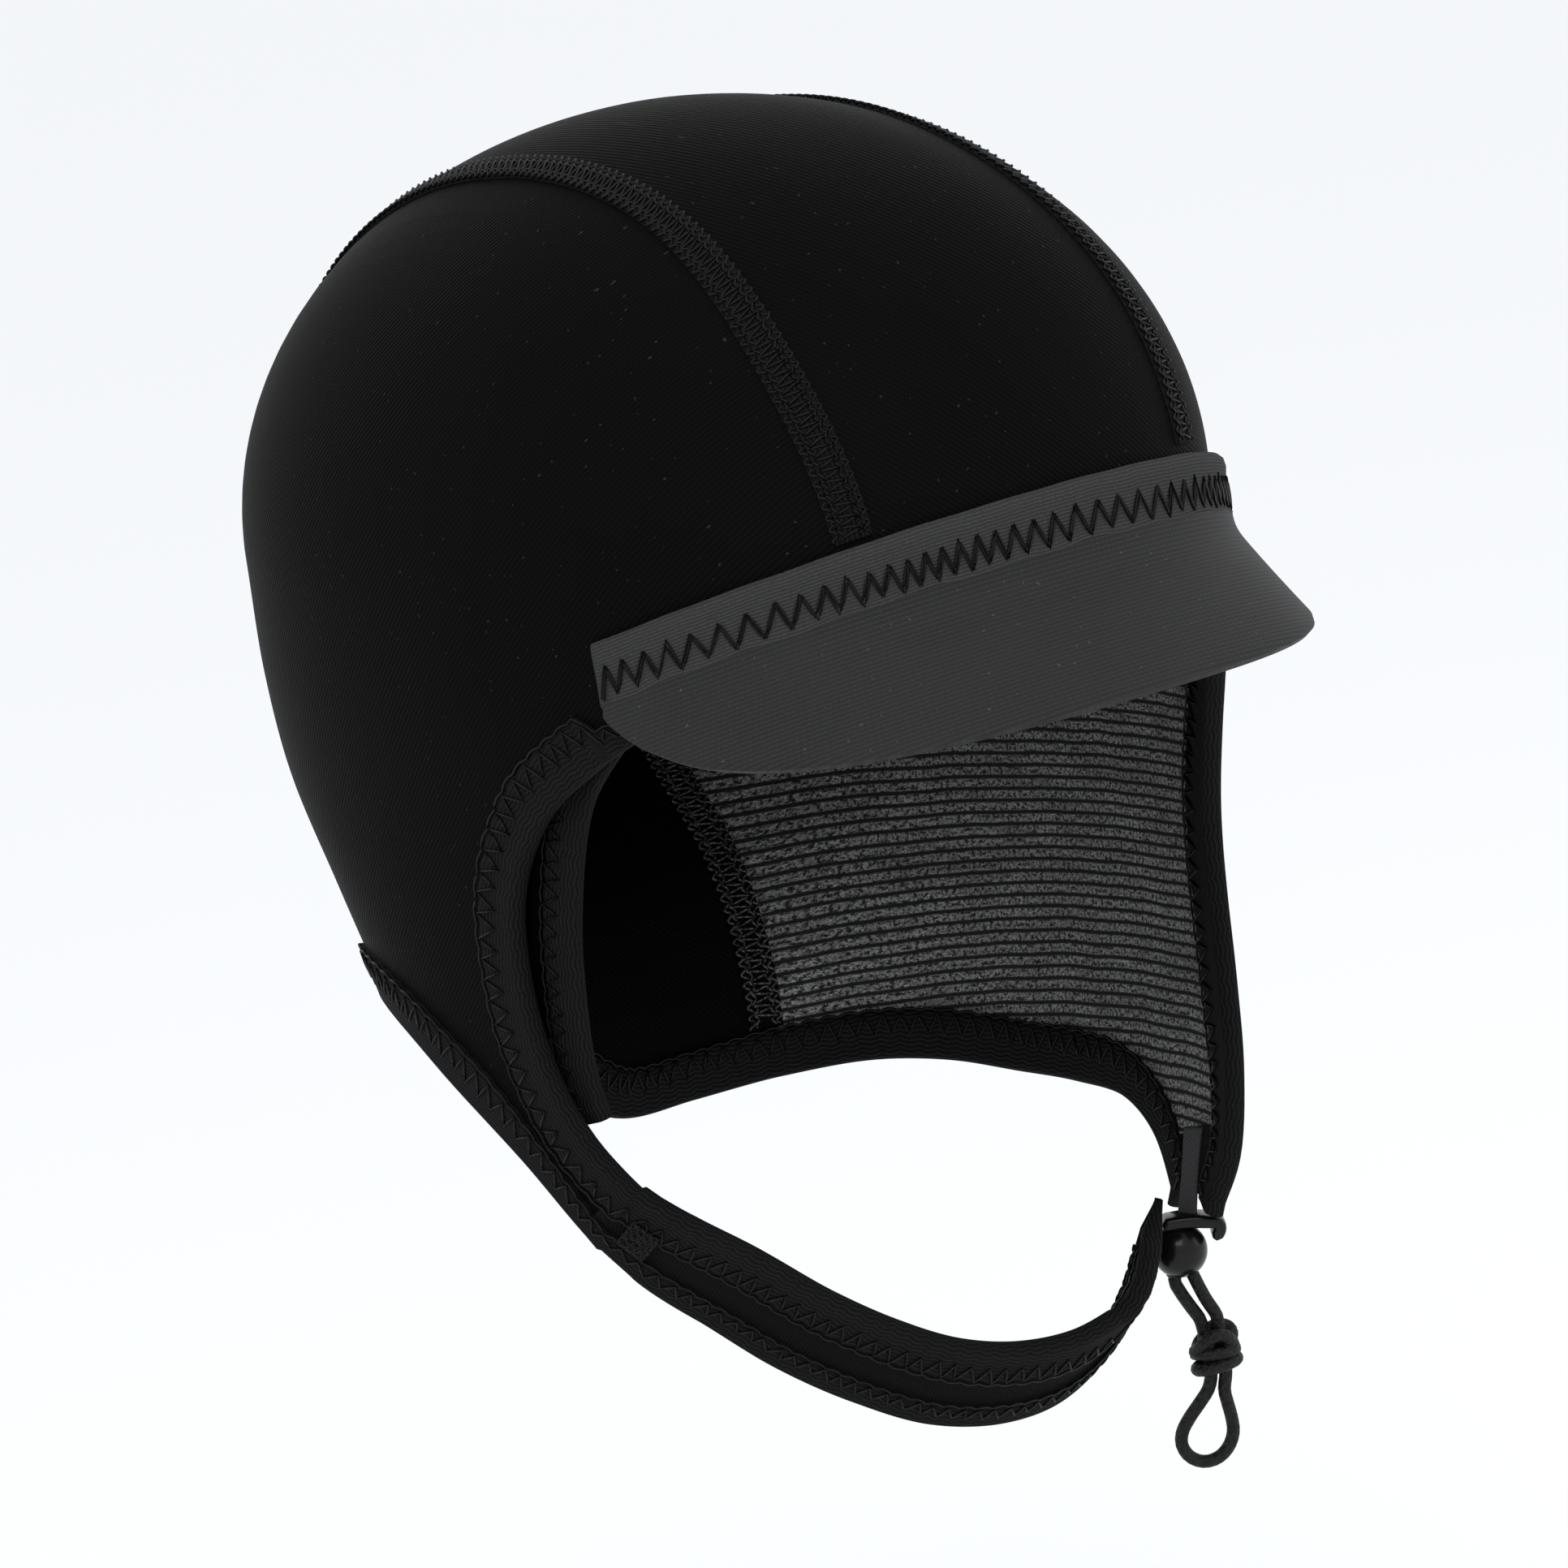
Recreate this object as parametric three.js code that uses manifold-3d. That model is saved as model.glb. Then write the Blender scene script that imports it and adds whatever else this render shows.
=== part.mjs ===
// Neoprene surf cap: three-panel crown with ear flaps, bound edges, short drooping peak,
// chin strap and a ball cord lock with a knotted elastic cord.
// Millimetres, +Z up, forehead towards -Y, wearer's left towards +X.
// The origin is the inside top of the crown, where the head seats.
import * as THREE from 'three';
import * as BufferGeometryUtils from 'three/addons/utils/BufferGeometryUtils.js';
import Module from 'manifold-3d';

const wasm = await Module();
wasm.setup();

// Head form: the outside of the neoprene
const headWidth = 156;
const browLength = 99.8;
const backLength = 101.5;
const crownHeight = 74.5;
const sideDrop = 160;
const squareness = 2.15;
const wall = 2;
const clearance = 0.35;
const seamGap = 0.5;

// Seams between the centre panel and the side panels
const seamWidth = 7.5;
const seamThickness = 0.6;
const seamLift = 0.7;

// Bound edges
const bindingWidth = 9;
const bindingThickness = 0.65;
const bindingLift = 0.7;

// Brow band and peak
const browDrop = 5.8;
const browTilt = 16.3;
const bandHeight = 11;
const bandThickness = 2.6;
const bandReach = 53;
const peakReach = 52;
const peakLength = 32;
const peakThickness = 2.6;
const peakDroop = 44;
const peakEndDroop = 75;

// Inner flap of the right ear
const innerFlapWall = 1.5;
const innerFlapDepth = 20;

// Chin strap
const strapWidth = 17;
const strapThickness = 2;
const strapStart = 1.2;
const strapTopBinding = 7.2;
const strapLowBinding = 4.6;
const tipBinding = 5.8;

// Cord lock and elastic cord
const ballDiameter = 10.4;
const lockPlateLength = 10;
const lockPlateWidth = 7;
const lockPlateShift = 2.4;
const lockPlateThickness = 1.5;
const tabWidth = 4.4;
const tabThickness = 1;
const tabLength = 13;
const cordDiameter = 2.5;
const knotWidth = 10.4;
const bartackLength = 5.5;
const bartackWidth = 7;
const bartackThickness = 0.7;

// Facets
const stations = 32;
const sideRows = 13;
const acrossSteps = 8;
const browSteps = 22;
const strapSteps = 20;

const halfWidth = headWidth / 2;
const browSlope = Math.tan(THREE.MathUtils.degToRad(browTilt));

// How the form narrows below its widest level: drop is a share of sideDrop, and the
// others are shares of the half width, the back length and the brow length.
const formRows = [
  { drop: 0, width: 1, back: 1, brow: 1 },
  { drop: 0.125, width: 0.998, back: 1.012, brow: 0.997 },
  { drop: 0.25, width: 0.984, back: 0.985, brow: 0.99 },
  { drop: 0.375, width: 0.98, back: 0.845, brow: 0.975 },
  { drop: 0.5, width: 0.972, back: 0.7, brow: 0.952 },
  { drop: 0.625, width: 0.95, back: 0.65, brow: 0.925 },
  { drop: 0.75, width: 0.902, back: 0.66, brow: 0.902 },
  { drop: 0.875, width: 0.83, back: 0.67, brow: 0.87 },
  { drop: 1, width: 0.72, back: 0.64, brow: 0.82 },
];

// Half width of the centre panel along its run from brow to nape, as a share of half width
const seamRows = [
  { run: 0, half: 0.472 },
  { run: 0.15, half: 0.485 },
  { run: 0.3, half: 0.42 },
  { run: 0.45, half: 0.39 },
  { run: 0.65, half: 0.395 },
  { run: 0.85, half: 0.41 },
  { run: 1, half: 0.41 },
];

// Nape rim of the centre panel: across runs from the right seam to the left seam,
// drop is a share of sideDrop. The cap sits askew: its nape hangs lower on the left.
const napeRows = [
  { across: -1, drop: 0.585 },
  { across: -0.66, drop: 0.655 },
  { across: -0.33, drop: 0.72 },
  { across: 0, drop: 0.757 },
  { across: 0.5, drop: 0.76 },
  { across: 1, drop: 0.757 },
];

// Face rim of each ear flap from the temple to the tip, then the rim behind the ear from
// the tip to the nape seam. ahead is a share of browLength before the ear line, behind is
// a share of backLength after it, and drop is a share of sideDrop.
const faceRimRight = [
  { ahead: 0.59, drop: 0.15 },
  { ahead: 0.475, drop: 0.19 },
  { ahead: 0.325, drop: 0.254 },
  { ahead: 0.228, drop: 0.345 },
  { ahead: 0.203, drop: 0.456 },
  { ahead: 0.222, drop: 0.55 },
  { ahead: 0.268, drop: 0.625 },
  { ahead: 0.335, drop: 0.685 },
];
const earRimRight = [
  { behind: -0.215, drop: 0.745 },
  { behind: -0.1, drop: 0.648 },
  { behind: 0.06, drop: 0.563 },
  { behind: 0.19, drop: 0.515 },
  { behind: 0.32, drop: 0.492 },
  { behind: 0.44, drop: 0.491 },
  { behind: 0.53, drop: 0.52 },
];
const faceRimLeft = [
  { ahead: 0.665, drop: 0.17 },
  { ahead: 0.56, drop: 0.27 },
  { ahead: 0.475, drop: 0.36 },
  { ahead: 0.415, drop: 0.46 },
  { ahead: 0.405, drop: 0.56 },
  { ahead: 0.43, drop: 0.66 },
  { ahead: 0.467, drop: 0.755 },
  { ahead: 0.472, drop: 0.845 },
  { ahead: 0.42, drop: 0.905 },
];
const earRimLeft = [
  { behind: -0.26, drop: 0.905 },
  { behind: -0.17, drop: 0.847 },
  { behind: -0.06, drop: 0.81 },
  { behind: 0.09, drop: 0.797 },
  { behind: 0.24, drop: 0.786 },
  { behind: 0.38, drop: 0.768 },
  { behind: 0.5, drop: 0.757 },
];

// Free edge of the inner flap, from the temple to the right tip
const innerFlapRows = [
  { ahead: 0.52, drop: 0.165 },
  { ahead: 0.39, drop: 0.25 },
  { ahead: 0.312, drop: 0.38 },
  { ahead: 0.286, drop: 0.464 },
  { ahead: 0.27, drop: 0.56 },
  { ahead: 0.285, drop: 0.64 },
];

// Chin strap centre line after the right tip: across and ahead are shares of halfWidth
// and browLength, drop is a share of sideDrop, width is a share of strapWidth, and the
// leans are the forward and sideways parts of the strap's width direction.
const strapRows = [
  { across: -0.8, ahead: 0.325, drop: 0.765, width: 1, leanAhead: 0.75, leanSide: 0.1 },
  { across: -0.64, ahead: 0.34, drop: 0.832, width: 1, leanAhead: 0.68, leanSide: 0.12 },
  { across: -0.475, ahead: 0.35, drop: 0.902, width: 1, leanAhead: 0.62, leanSide: 0.08 },
  { across: -0.3, ahead: 0.36, drop: 0.963, width: 1, leanAhead: 0.58, leanSide: 0 },
  { across: -0.12, ahead: 0.372, drop: 1.012, width: 1, leanAhead: 0.57, leanSide: 0 },
  { across: 0.07, ahead: 0.375, drop: 1.04, width: 1, leanAhead: 0.6, leanSide: -0.05 },
  { across: 0.25, ahead: 0.368, drop: 1.046, width: 1, leanAhead: 0.68, leanSide: -0.15 },
  { across: 0.405, ahead: 0.348, drop: 1.03, width: 0.95, leanAhead: 0.78, leanSide: -0.35 },
  { across: 0.493, ahead: 0.359, drop: 0.992, width: 0.8, leanAhead: 0.84, leanSide: -0.5 },
  { across: 0.54, ahead: 0.362, drop: 0.955, width: 0.6, leanAhead: 0.84, leanSide: -0.54 },
  { across: 0.56, ahead: 0.366, drop: 0.931, width: 0.44, leanAhead: 0.84, leanSide: -0.54 },
];

// The middle of the lock's ball, as the strap's rows give theirs, the way its plate faces,
// and the strap's end as seen from the ball
const lockRow = { across: 0.667, ahead: 0.3266, drop: 0.9619 };
const lockTurn = -35.3;
const strapEnd = new THREE.Vector3(-8.35, -3.9, 4.95);

// The elastic cord hangs in one upright plane through the ball: out is to the side and
// up is above the ball's centre. It goes down one leg, round the loop and back up.
const cordLegDown = [[-1.9, -5.8], [-1.3, -7.6], [-0.4, -9.6], [0.7, -11.8], [1.8, -13.6]];
const cordLoop = [
  [2.9, -24.5], [1.2, -27.2], [-0.8, -29.6], [-3.2, -32.2], [-5, -34.8], [-5.4, -37.2], [-4.3, -39.6],
  [-1.9, -41], [0.9, -40.7], [3.2, -38.9], [4.5, -36.2], [4.6, -33.4], [4.3, -30.6], [4.1, -28], [4.2, -24.5],
];
const cordLegUp = [[4.8, -13.4], [4.1, -11.8], [3.3, -10], [2.6, -8], [1.9, -5.8]];
const knotCentre = [3.5, -19.6];

// Smooth value of one column of a table at a place along another column
function column(rows, key, name, at) {
  const last = rows.length - 1;
  const place = THREE.MathUtils.clamp(at, rows[0][key], rows[last][key]);
  let i = 0;
  while (i < last - 1 && place > rows[i + 1][key]) i += 1;
  const slope = (k) => {
    const low = rows[Math.max(k - 1, 0)];
    const high = rows[Math.min(k + 1, last)];
    return (high[name] - low[name]) / (high[key] - low[key]);
  };
  const span = rows[i + 1][key] - rows[i][key];
  const t = (place - rows[i][key]) / span;
  const start = rows[i][name] * (2 * t ** 3 - 3 * t ** 2 + 1) + slope(i) * span * (t ** 3 - 2 * t ** 2 + t);
  return start + rows[i + 1][name] * (3 * t ** 2 - 2 * t ** 3) + slope(i + 1) * span * (t ** 3 - t ** 2);
}

// Half sizes of the form's level section: side, back and brow
function formSizes(z) {
  const drop = Math.max(-z, 0) / sideDrop;
  return {
    side: halfWidth * column(formRows, 'drop', 'width', drop),
    back: backLength * column(formRows, 'drop', 'back', drop),
    brow: browLength * column(formRows, 'drop', 'brow', drop),
  };
}

// Zero on the form, negative inside it and positive outside
function formValue(point) {
  const sizes = formSizes(point.z);
  const reach = point.y > 0 ? sizes.back : sizes.brow;
  const level = (Math.abs(point.x) / sizes.side) ** squareness + (Math.abs(point.y) / reach) ** squareness;
  return level ** (2 / squareness) + (Math.max(point.z, 0) / crownHeight) ** 2 - 1;
}

function formGradient(point) {
  const probe = 0.05;
  const slope = new THREE.Vector3();
  for (const axis of ['x', 'y', 'z']) {
    const high = point.clone();
    const low = point.clone();
    high[axis] += probe;
    low[axis] -= probe;
    slope[axis] = (formValue(high) - formValue(low)) / (2 * probe);
  }
  return slope;
}

function formNormal(point) {
  return formGradient(point).normalize();
}

function ontoForm(point) {
  const spot = point.clone();
  for (let pass = 0; pass < 4; pass += 1) {
    const slope = formGradient(spot);
    spot.addScaledVector(slope, -formValue(spot) / slope.lengthSq());
  }
  return spot;
}

// The point of the form over a place in the side view, on the right (-1) or left (+1)
function sidePoint(side, y, z) {
  const sizes = formSizes(z);
  const reach = y > 0 ? sizes.back : sizes.brow;
  const full = (1 - (Math.max(z, 0) / crownHeight) ** 2) ** (squareness / 2);
  const rest = Math.max(full - (Math.abs(y) / reach) ** squareness, 0);
  return new THREE.Vector3(side * sizes.side * rest ** (1 / squareness), y, z);
}

// The brow line is a tilted plane. height lifts the point above it.
function browPoint(azimuth, height) {
  const side = Math.sin(azimuth);
  const ahead = Math.cos(azimuth);
  let z = -browDrop;
  let radius = browLength;
  for (let pass = 0; pass < 8; pass += 1) {
    const sizes = formSizes(z);
    const round = (Math.abs(side) / sizes.side) ** squareness + (ahead / sizes.brow) ** squareness;
    radius = Math.sqrt(1 - (Math.max(z, 0) / crownHeight) ** 2) / round ** (1 / squareness);
    z = height - browDrop - browSlope * (browLength - ahead * radius);
  }
  return new THREE.Vector3(side * radius, -ahead * radius, z);
}

function browLevel(y) {
  return -browDrop - browSlope * (y + browLength);
}

// The run over the crown: front below the widest level, the dome, then the back below it.
// run is a length along the middle, x the sideways place.
const domeRun = (Math.PI / 4) * (browLength + backLength + 2 * crownHeight);

function crownPoint(x, run) {
  if (run > domeRun) {
    const low = formSizes(domeRun - run);
    const y = low.back * (1 - (Math.abs(x) / low.side) ** squareness) ** (1 / squareness);
    return new THREE.Vector3(x, y, domeRun - run);
  }
  if (run < 0) {
    const low = formSizes(run);
    const y = -low.brow * (1 - (Math.abs(x) / low.side) ** squareness) ** (1 / squareness);
    return new THREE.Vector3(x, y, run);
  }
  const share = Math.abs(x) / halfWidth;
  const turn = (Math.PI * run) / domeRun;
  const rise = Math.sin(turn) * Math.sqrt(1 - share ** 2);
  const level = Math.max((1 - rise ** 2) ** (squareness / 2) - share ** squareness, 0) ** (1 / squareness);
  const reach = run < domeRun / 2 ? -browLength : backLength;
  return new THREE.Vector3(x, reach * level, crownHeight * rise);
}

// A point of the centre panel: across is -1 at the right seam and 1 at the left seam,
// along is 0 at the brow and 1 at the nape, beyond is a distance past the seam.
function centrePoint(across, along, beyond = 0) {
  const half = halfWidth * column(seamRows, 'run', 'half', along) + beyond;
  const x = across * half;
  const sizes = formSizes(-browDrop);
  const front = -sizes.brow * (1 - (Math.abs(x) / sizes.side) ** squareness) ** (1 / squareness);
  const nape = sideDrop * column(napeRows, 'across', 'drop', across);
  return crownPoint(x, THREE.MathUtils.lerp(browLevel(front), domeRun + nape, along));
}

// Points at equal steps along a smooth curve through the given places
function evenly(points, count) {
  const curve = new THREE.CatmullRomCurve3(points, false, 'centripetal');
  curve.arcLengthDivisions = 400;
  return curve.getSpacedPoints(count);
}

function sidePlace(row) {
  if (row.ahead !== undefined) return new THREE.Vector3(0, -row.ahead * browLength, -row.drop * sideDrop);
  const reach = row.behind < 0 ? browLength : backLength;
  return new THREE.Vector3(0, row.behind * reach, -row.drop * sideDrop);
}

// The side panel's four edges in the side view, blended over its middle. The seam's arch
// fades with this power of the way down to the tip.
const archFade = 1.75;

function sidePanelPlaces(side, faceRows, earRows) {
  const seam = [];
  for (let i = 0; i <= stations; i += 1) {
    const point = centrePoint(side, i / stations, seamGap);
    seam.push(point.setX(0));
  }
  const templeShare = [0.3, 0.65];
  const temple = -faceRows[0].ahead * browLength;
  const brow = templeShare.map((share) => {
    const y = THREE.MathUtils.lerp(seam[0].y, temple, share);
    return new THREE.Vector3(0, y, browLevel(y));
  });
  const face = evenly([seam[0], ...brow, ...faceRows.map(sidePlace)], sideRows);
  const ear = evenly([seam[stations], ...earRows.map(sidePlace).reverse()], sideRows);
  const tip = evenly([face[sideRows], ear[sideRows]], stations);
  const rows = [];
  for (let j = 0; j <= sideRows; j += 1) {
    const v = j / sideRows;
    const row = [];
    for (let i = 0; i <= stations; i += 1) {
      const u = i / stations;
      const arch = (1 - v) ** archFade;
      const place = face[j].clone().lerp(ear[j], u);
      place.addScaledVector(seam[i], arch).addScaledVector(seam[0].clone().lerp(seam[stations], u), -arch);
      row.push(sidePoint(side, place.y, place.z));
    }
    rows.push(row);
  }
  return rows;
}

function centrePanelRows() {
  const rows = [];
  for (let j = 0; j <= stations; j += 1) {
    const row = [];
    for (let i = 0; i <= acrossSteps; i += 1) row.push(centrePoint((2 * i) / acrossSteps - 1, j / stations));
    rows.push(row);
  }
  return rows;
}

// Triangles that close a ring of the given flat shape, in the ring's order
function shapeCap(places) {
  const shape = places.map(([x, y]) => new THREE.Vector2(x, y));
  const faces = THREE.ShapeUtils.triangulateShape(shape, []);
  return THREE.ShapeUtils.isClockWise(shape) ? faces.map(([a, b, c]) => [a, c, b]) : faces;
}

// Triangles that close a ring of count outer points and as many inner points back
function sheetCap(count) {
  const last = 2 * count - 1;
  const faces = [];
  for (let i = 0; i < count - 1; i += 1) faces.push([i, i + 1, last - 1 - i], [i, last - 1 - i, last - i]);
  return faces;
}

// Closed body through matching rings of points, with the same cap on the first and the last
function loft(rings, cap) {
  const size = rings[0].length;
  const positions = rings.flat().flatMap((point) => [point.x, point.y, point.z]);
  const faces = [];
  for (let j = 0; j < rings.length - 1; j += 1) {
    for (let i = 0; i < size; i += 1) {
      const a = j * size + i;
      const b = j * size + ((i + 1) % size);
      faces.push([a, b, b + size], [a, b + size, a + size]);
    }
  }
  const top = (rings.length - 1) * size;
  for (const [a, b, c] of cap) faces.push([a, c, b], [top + a, top + b, top + c]);
  const geometry = new THREE.BufferGeometry();
  geometry.setAttribute('position', new THREE.Float32BufferAttribute(positions, 3));
  const turned = signedVolume(positions, faces) < 0;
  geometry.setIndex(faces.flatMap(([a, b, c]) => (turned ? [a, c, b] : [a, b, c])));
  return geometry;
}

function signedVolume(positions, faces) {
  const corner = (k) => new THREE.Vector3().fromArray(positions, 3 * k);
  let volume = 0;
  for (const [a, b, c] of faces) volume += corner(a).dot(corner(b).cross(corner(c)));
  return volume;
}

// A sheet of the given points with its inner face below them along the form's normals
function sheet(rows, depth, thickness) {
  const rings = rows.map((row) => {
    const outer = row.map((point) => point.clone().addScaledVector(formNormal(point), -depth));
    const inner = row.map((point) => point.clone().addScaledVector(formNormal(point), -depth - thickness));
    return [...outer, ...inner.reverse()];
  });
  return loft(rings, sheetCap(rows[0].length));
}

// A frame on the form: at(s, h) is s inward along the surface and h above it
function formFrame(point, inward) {
  return {
    at: (s, h) => {
      const spot = ontoForm(point.clone().addScaledVector(inward, s));
      return spot.addScaledVector(formNormal(spot), h);
    },
  };
}

// Frames along a rim of the form, with inside the next points into the panel
function rimFrames(rim, inside) {
  return rim.map((point, i) => {
    const before = rim[Math.max(i - 1, 0)];
    const after = rim[Math.min(i + 1, rim.length - 1)];
    const along = after.clone().sub(before).normalize();
    const inward = formNormal(point).cross(along).normalize();
    if (inward.dot(inside[i].clone().sub(point)) < 0) inward.negate();
    return formFrame(point, inward);
  });
}

// U-section of a bound edge: legs of the given length on both sides of a wall
function bindingSection(reach, thick) {
  const gap = bindingLift;
  const out = bindingLift + bindingThickness;
  const half = thick / 2;
  return [
    [reach, gap], [0.88 * reach, out], [0, out], [-out, -half],
    [0, -thick - out], [0.88 * reach, -thick - out], [reach, -thick - gap],
    [0.45 * reach, -thick - gap], [0, -thick - gap], [-gap, -half], [0, gap], [0.45 * reach, gap],
  ];
}

// A bound edge along frames; each frame may state its own reach, thickness and lift
function binding(frames) {
  const rings = frames.map((frame) => {
    const lift = frame.lift ?? 0;
    return bindingSection(frame.reach ?? bindingWidth, frame.thick ?? wall).map(([s, h]) => frame.at(s, h + lift));
  });
  return loft(rings, shapeCap(bindingSection(bindingWidth, wall)));
}

// The first place along a seam that is clear above the brow band
function bandClearance(side) {
  let low = 0;
  let high = 0.1;
  for (let pass = 0; pass < 20; pass += 1) {
    const middle = (low + high) / 2;
    const point = centrePoint(side, middle);
    if (point.z - browLevel(point.y) < bandHeight + clearance) low = middle;
    else high = middle;
  }
  return high;
}

// The last place along a seam that is clear of the nape binding, whose rim is slanted
function napeClearance(side) {
  const rim = centrePoint(side, 1);
  const inner = centrePoint(side * 0.9, 1);
  const slant = Math.abs(rim.z - inner.z) / Math.abs(rim.x - inner.x);
  const trim = (bindingWidth + 2 * clearance) * Math.hypot(1, slant) + (slant * seamWidth) / 2;
  return 1 - trim / (domeRun - rim.z);
}

// A flat strip over the seam, above the outer face or below the inner one
function seamStrip(side, outside) {
  const low = outside ? seamLift : -wall - seamLift;
  const high = outside ? low + seamThickness : low - seamThickness;
  const shape = [
    [-seamWidth / 2, low], [-0.4 * seamWidth, high], [0, high], [0.4 * seamWidth, high],
    [seamWidth / 2, low], [0, low],
  ];
  const first = bandClearance(side);
  const last = napeClearance(side);
  const between = [];
  for (let j = 0; j <= stations; j += 1) between.push(j / stations);
  const places = [first, ...between.filter((along) => along > first + 0.004 && along < last - 0.004), last];
  const ringAt = (along) => {
    const point = centrePoint(side, along, seamGap / 2);
    const inward = centrePoint(side * 0.9, along).sub(point).normalize();
    const frame = formFrame(point, inward);
    return shape.map(([s, h]) => frame.at(s, h));
  };
  const rings = places.map((along) => {
    const station = Math.floor(along * stations);
    const high = ringAt((station + 1) / stations);
    return ringAt(station / stations).map((point, i) => point.lerp(high[i], along * stations - station));
  });
  return loft(rings, shapeCap(shape));
}

function browBand() {
  const shape = [
    [0, 0], [0, 0.6], [0.08, 0.9], [0.3, 1], [0.7, 1], [0.92, 0.85], [1, 0.5], [1, 0], [0.5, 0],
  ];
  const rings = [];
  for (let i = 0; i <= browSteps; i += 1) {
    const azimuth = THREE.MathUtils.degToRad(bandReach * ((2 * i) / browSteps - 1));
    rings.push(shape.map(([up, out]) => {
      const point = browPoint(azimuth, up * bandHeight);
      return point.addScaledVector(formNormal(point), clearance + out * bandThickness);
    }));
  }
  return loft(rings, shapeCap(shape));
}

// The peak leaves the brow band downwards and turns out to its droop. It is longest in
// the middle and runs out at the temples.
function peak() {
  const alongSteps = 5;
  const rings = [];
  for (let i = 0; i <= browSteps; i += 1) {
    const share = (2 * i) / browSteps - 1;
    const azimuth = THREE.MathUtils.degToRad(peakReach * share);
    const root = browPoint(azimuth, -clearance);
    const out = formNormal(root).setZ(0).normalize();
    root.addScaledVector(out, clearance + bandThickness);
    const full = (1 - Math.abs(share) ** 2.3) ** 0.83;
    const length = peakThickness + (peakLength - peakThickness) * full;
    const droop = THREE.MathUtils.degToRad(THREE.MathUtils.lerp(peakDroop, peakEndDroop, share ** 2));
    const upper = [];
    const lower = [];
    const spot = root.clone();
    for (let k = 0; k <= alongSteps; k += 1) {
      const bend = THREE.MathUtils.smoothstep(k / alongSteps, 0, 0.3);
      const angle = THREE.MathUtils.lerp(Math.PI / 2, droop, bend);
      const ahead = out.clone().multiplyScalar(Math.cos(angle)).setZ(-Math.sin(angle));
      const over = out.clone().multiplyScalar(Math.sin(angle)).setZ(Math.cos(angle));
      if (k > 0) spot.addScaledVector(ahead, length / alongSteps);
      upper.push(spot.clone());
      lower.push(spot.clone().addScaledVector(over, -peakThickness));
    }
    rings.push([...upper, ...lower.reverse()]);
  }
  return loft(rings, sheetCap(alongSteps + 1));
}

function strapPlace(row) {
  return new THREE.Vector3(row.across * halfWidth, -row.ahead * browLength, -row.drop * sideDrop);
}

// The strap's stations: middle, width and face directions, from the right tip to the lock
function strapFrames(face, ear) {
  const upper = face[sideRows];
  const lower = ear[sideRows];
  const start = upper.clone().add(lower).multiplyScalar(0.5);
  const lean = upper.clone().sub(lower).normalize();
  const places = strapRows.map(strapPlace);
  const last = places.length - 1;
  const miss = lockPlace.clone().add(strapEnd).sub(places[last]);
  places.forEach((place, i) => place.addScaledVector(miss, (i / last) ** 4));
  const leans = strapRows.map((row) => {
    const rise = Math.sqrt(Math.max(1 - row.leanAhead ** 2 - row.leanSide ** 2, 0));
    return new THREE.Vector3(row.leanSide, -row.leanAhead, rise);
  });
  const curve = new THREE.CatmullRomCurve3([start, ...places], false, 'centripetal');
  const turn = new THREE.CatmullRomCurve3([lean, ...leans], false, 'catmullrom');
  const numbered = strapRows.map((row, i) => ({ row: i, width: row.width }));
  const frames = [];
  for (let i = 0; i <= strapSteps; i += 1) {
    const t = i / strapSteps;
    const along = curve.getTangent(t);
    const across = turn.getPoint(t);
    across.addScaledVector(along, -across.dot(along)).normalize();
    const out = along.clone().cross(across);
    const middle = curve.getPoint(t);
    const place = t * strapRows.length - 1;
    const whole = strapWidth / 2;
    const tipHalf = upper.distanceTo(lower) / 2;
    const half = place < 0 ? THREE.MathUtils.lerp(whole, tipHalf, -place)
      : whole * column(numbered, 'row', 'width', place);
    frames.push({ middle, along, across, out, half });
  }
  return frames;
}

function chinStrap(frames) {
  const rings = frames.map((frame, i) => {
    const edge = frame.half;
    const middle = frame.middle.clone();
    if (i === 0) middle.addScaledVector(frame.along, strapStart);
    const at = (s, h) => middle.clone().addScaledVector(frame.across, s).addScaledVector(frame.out, h);
    return [at(-edge, 0), at(edge, 0), at(edge, -strapThickness), at(-edge, -strapThickness)];
  });
  return loft(rings, sheetCap(2));
}

// Frames of the strap's upper (+1) or lower (-1) edge, for its binding
function strapEdgeFrames(frames, edge, reach) {
  return frames.slice(1).map((frame) => {
    const corner = frame.middle.clone().addScaledVector(frame.across, edge * frame.half);
    const inward = frame.across.clone().multiplyScalar(-edge);
    return {
      reach: (reach * 2 * frame.half) / strapWidth,
      thick: strapThickness,
      at: (s, h) => corner.clone().addScaledVector(inward, s).addScaledVector(frame.out, h),
    };
  });
}

// The binding narrows over the last rows before the tip
function narrowTowardsTip(frames, reach) {
  frames.forEach((frame, i) => {
    const left = frames.length - 1 - i;
    const share = THREE.MathUtils.clamp(1 - left / 4, 0, 1);
    frame.reach = Math.min(frame.reach ?? bindingWidth, THREE.MathUtils.lerp(bindingWidth, reach, share));
  });
  return frames;
}

// Inner flap: a strip behind the right face rim that shows past it
const innerDepth = wall + 2 * (bindingLift + bindingThickness) + clearance;
const innerSteps = 12;

function innerFlapRowsOnForm() {
  const edge = evenly(innerFlapRows.map(sidePlace), innerSteps);
  const cross = [0, 0.2, 0.5, 0.75, 1];
  return edge.map((place) => cross.map((share) => {
    return sidePoint(-1, place.y + share * innerFlapDepth, place.z);
  }));
}

// The face rim is bound below the peak's root, and the brow band binds the rest
const peakHug = 5.2;
const leastReach = 2;

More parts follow.
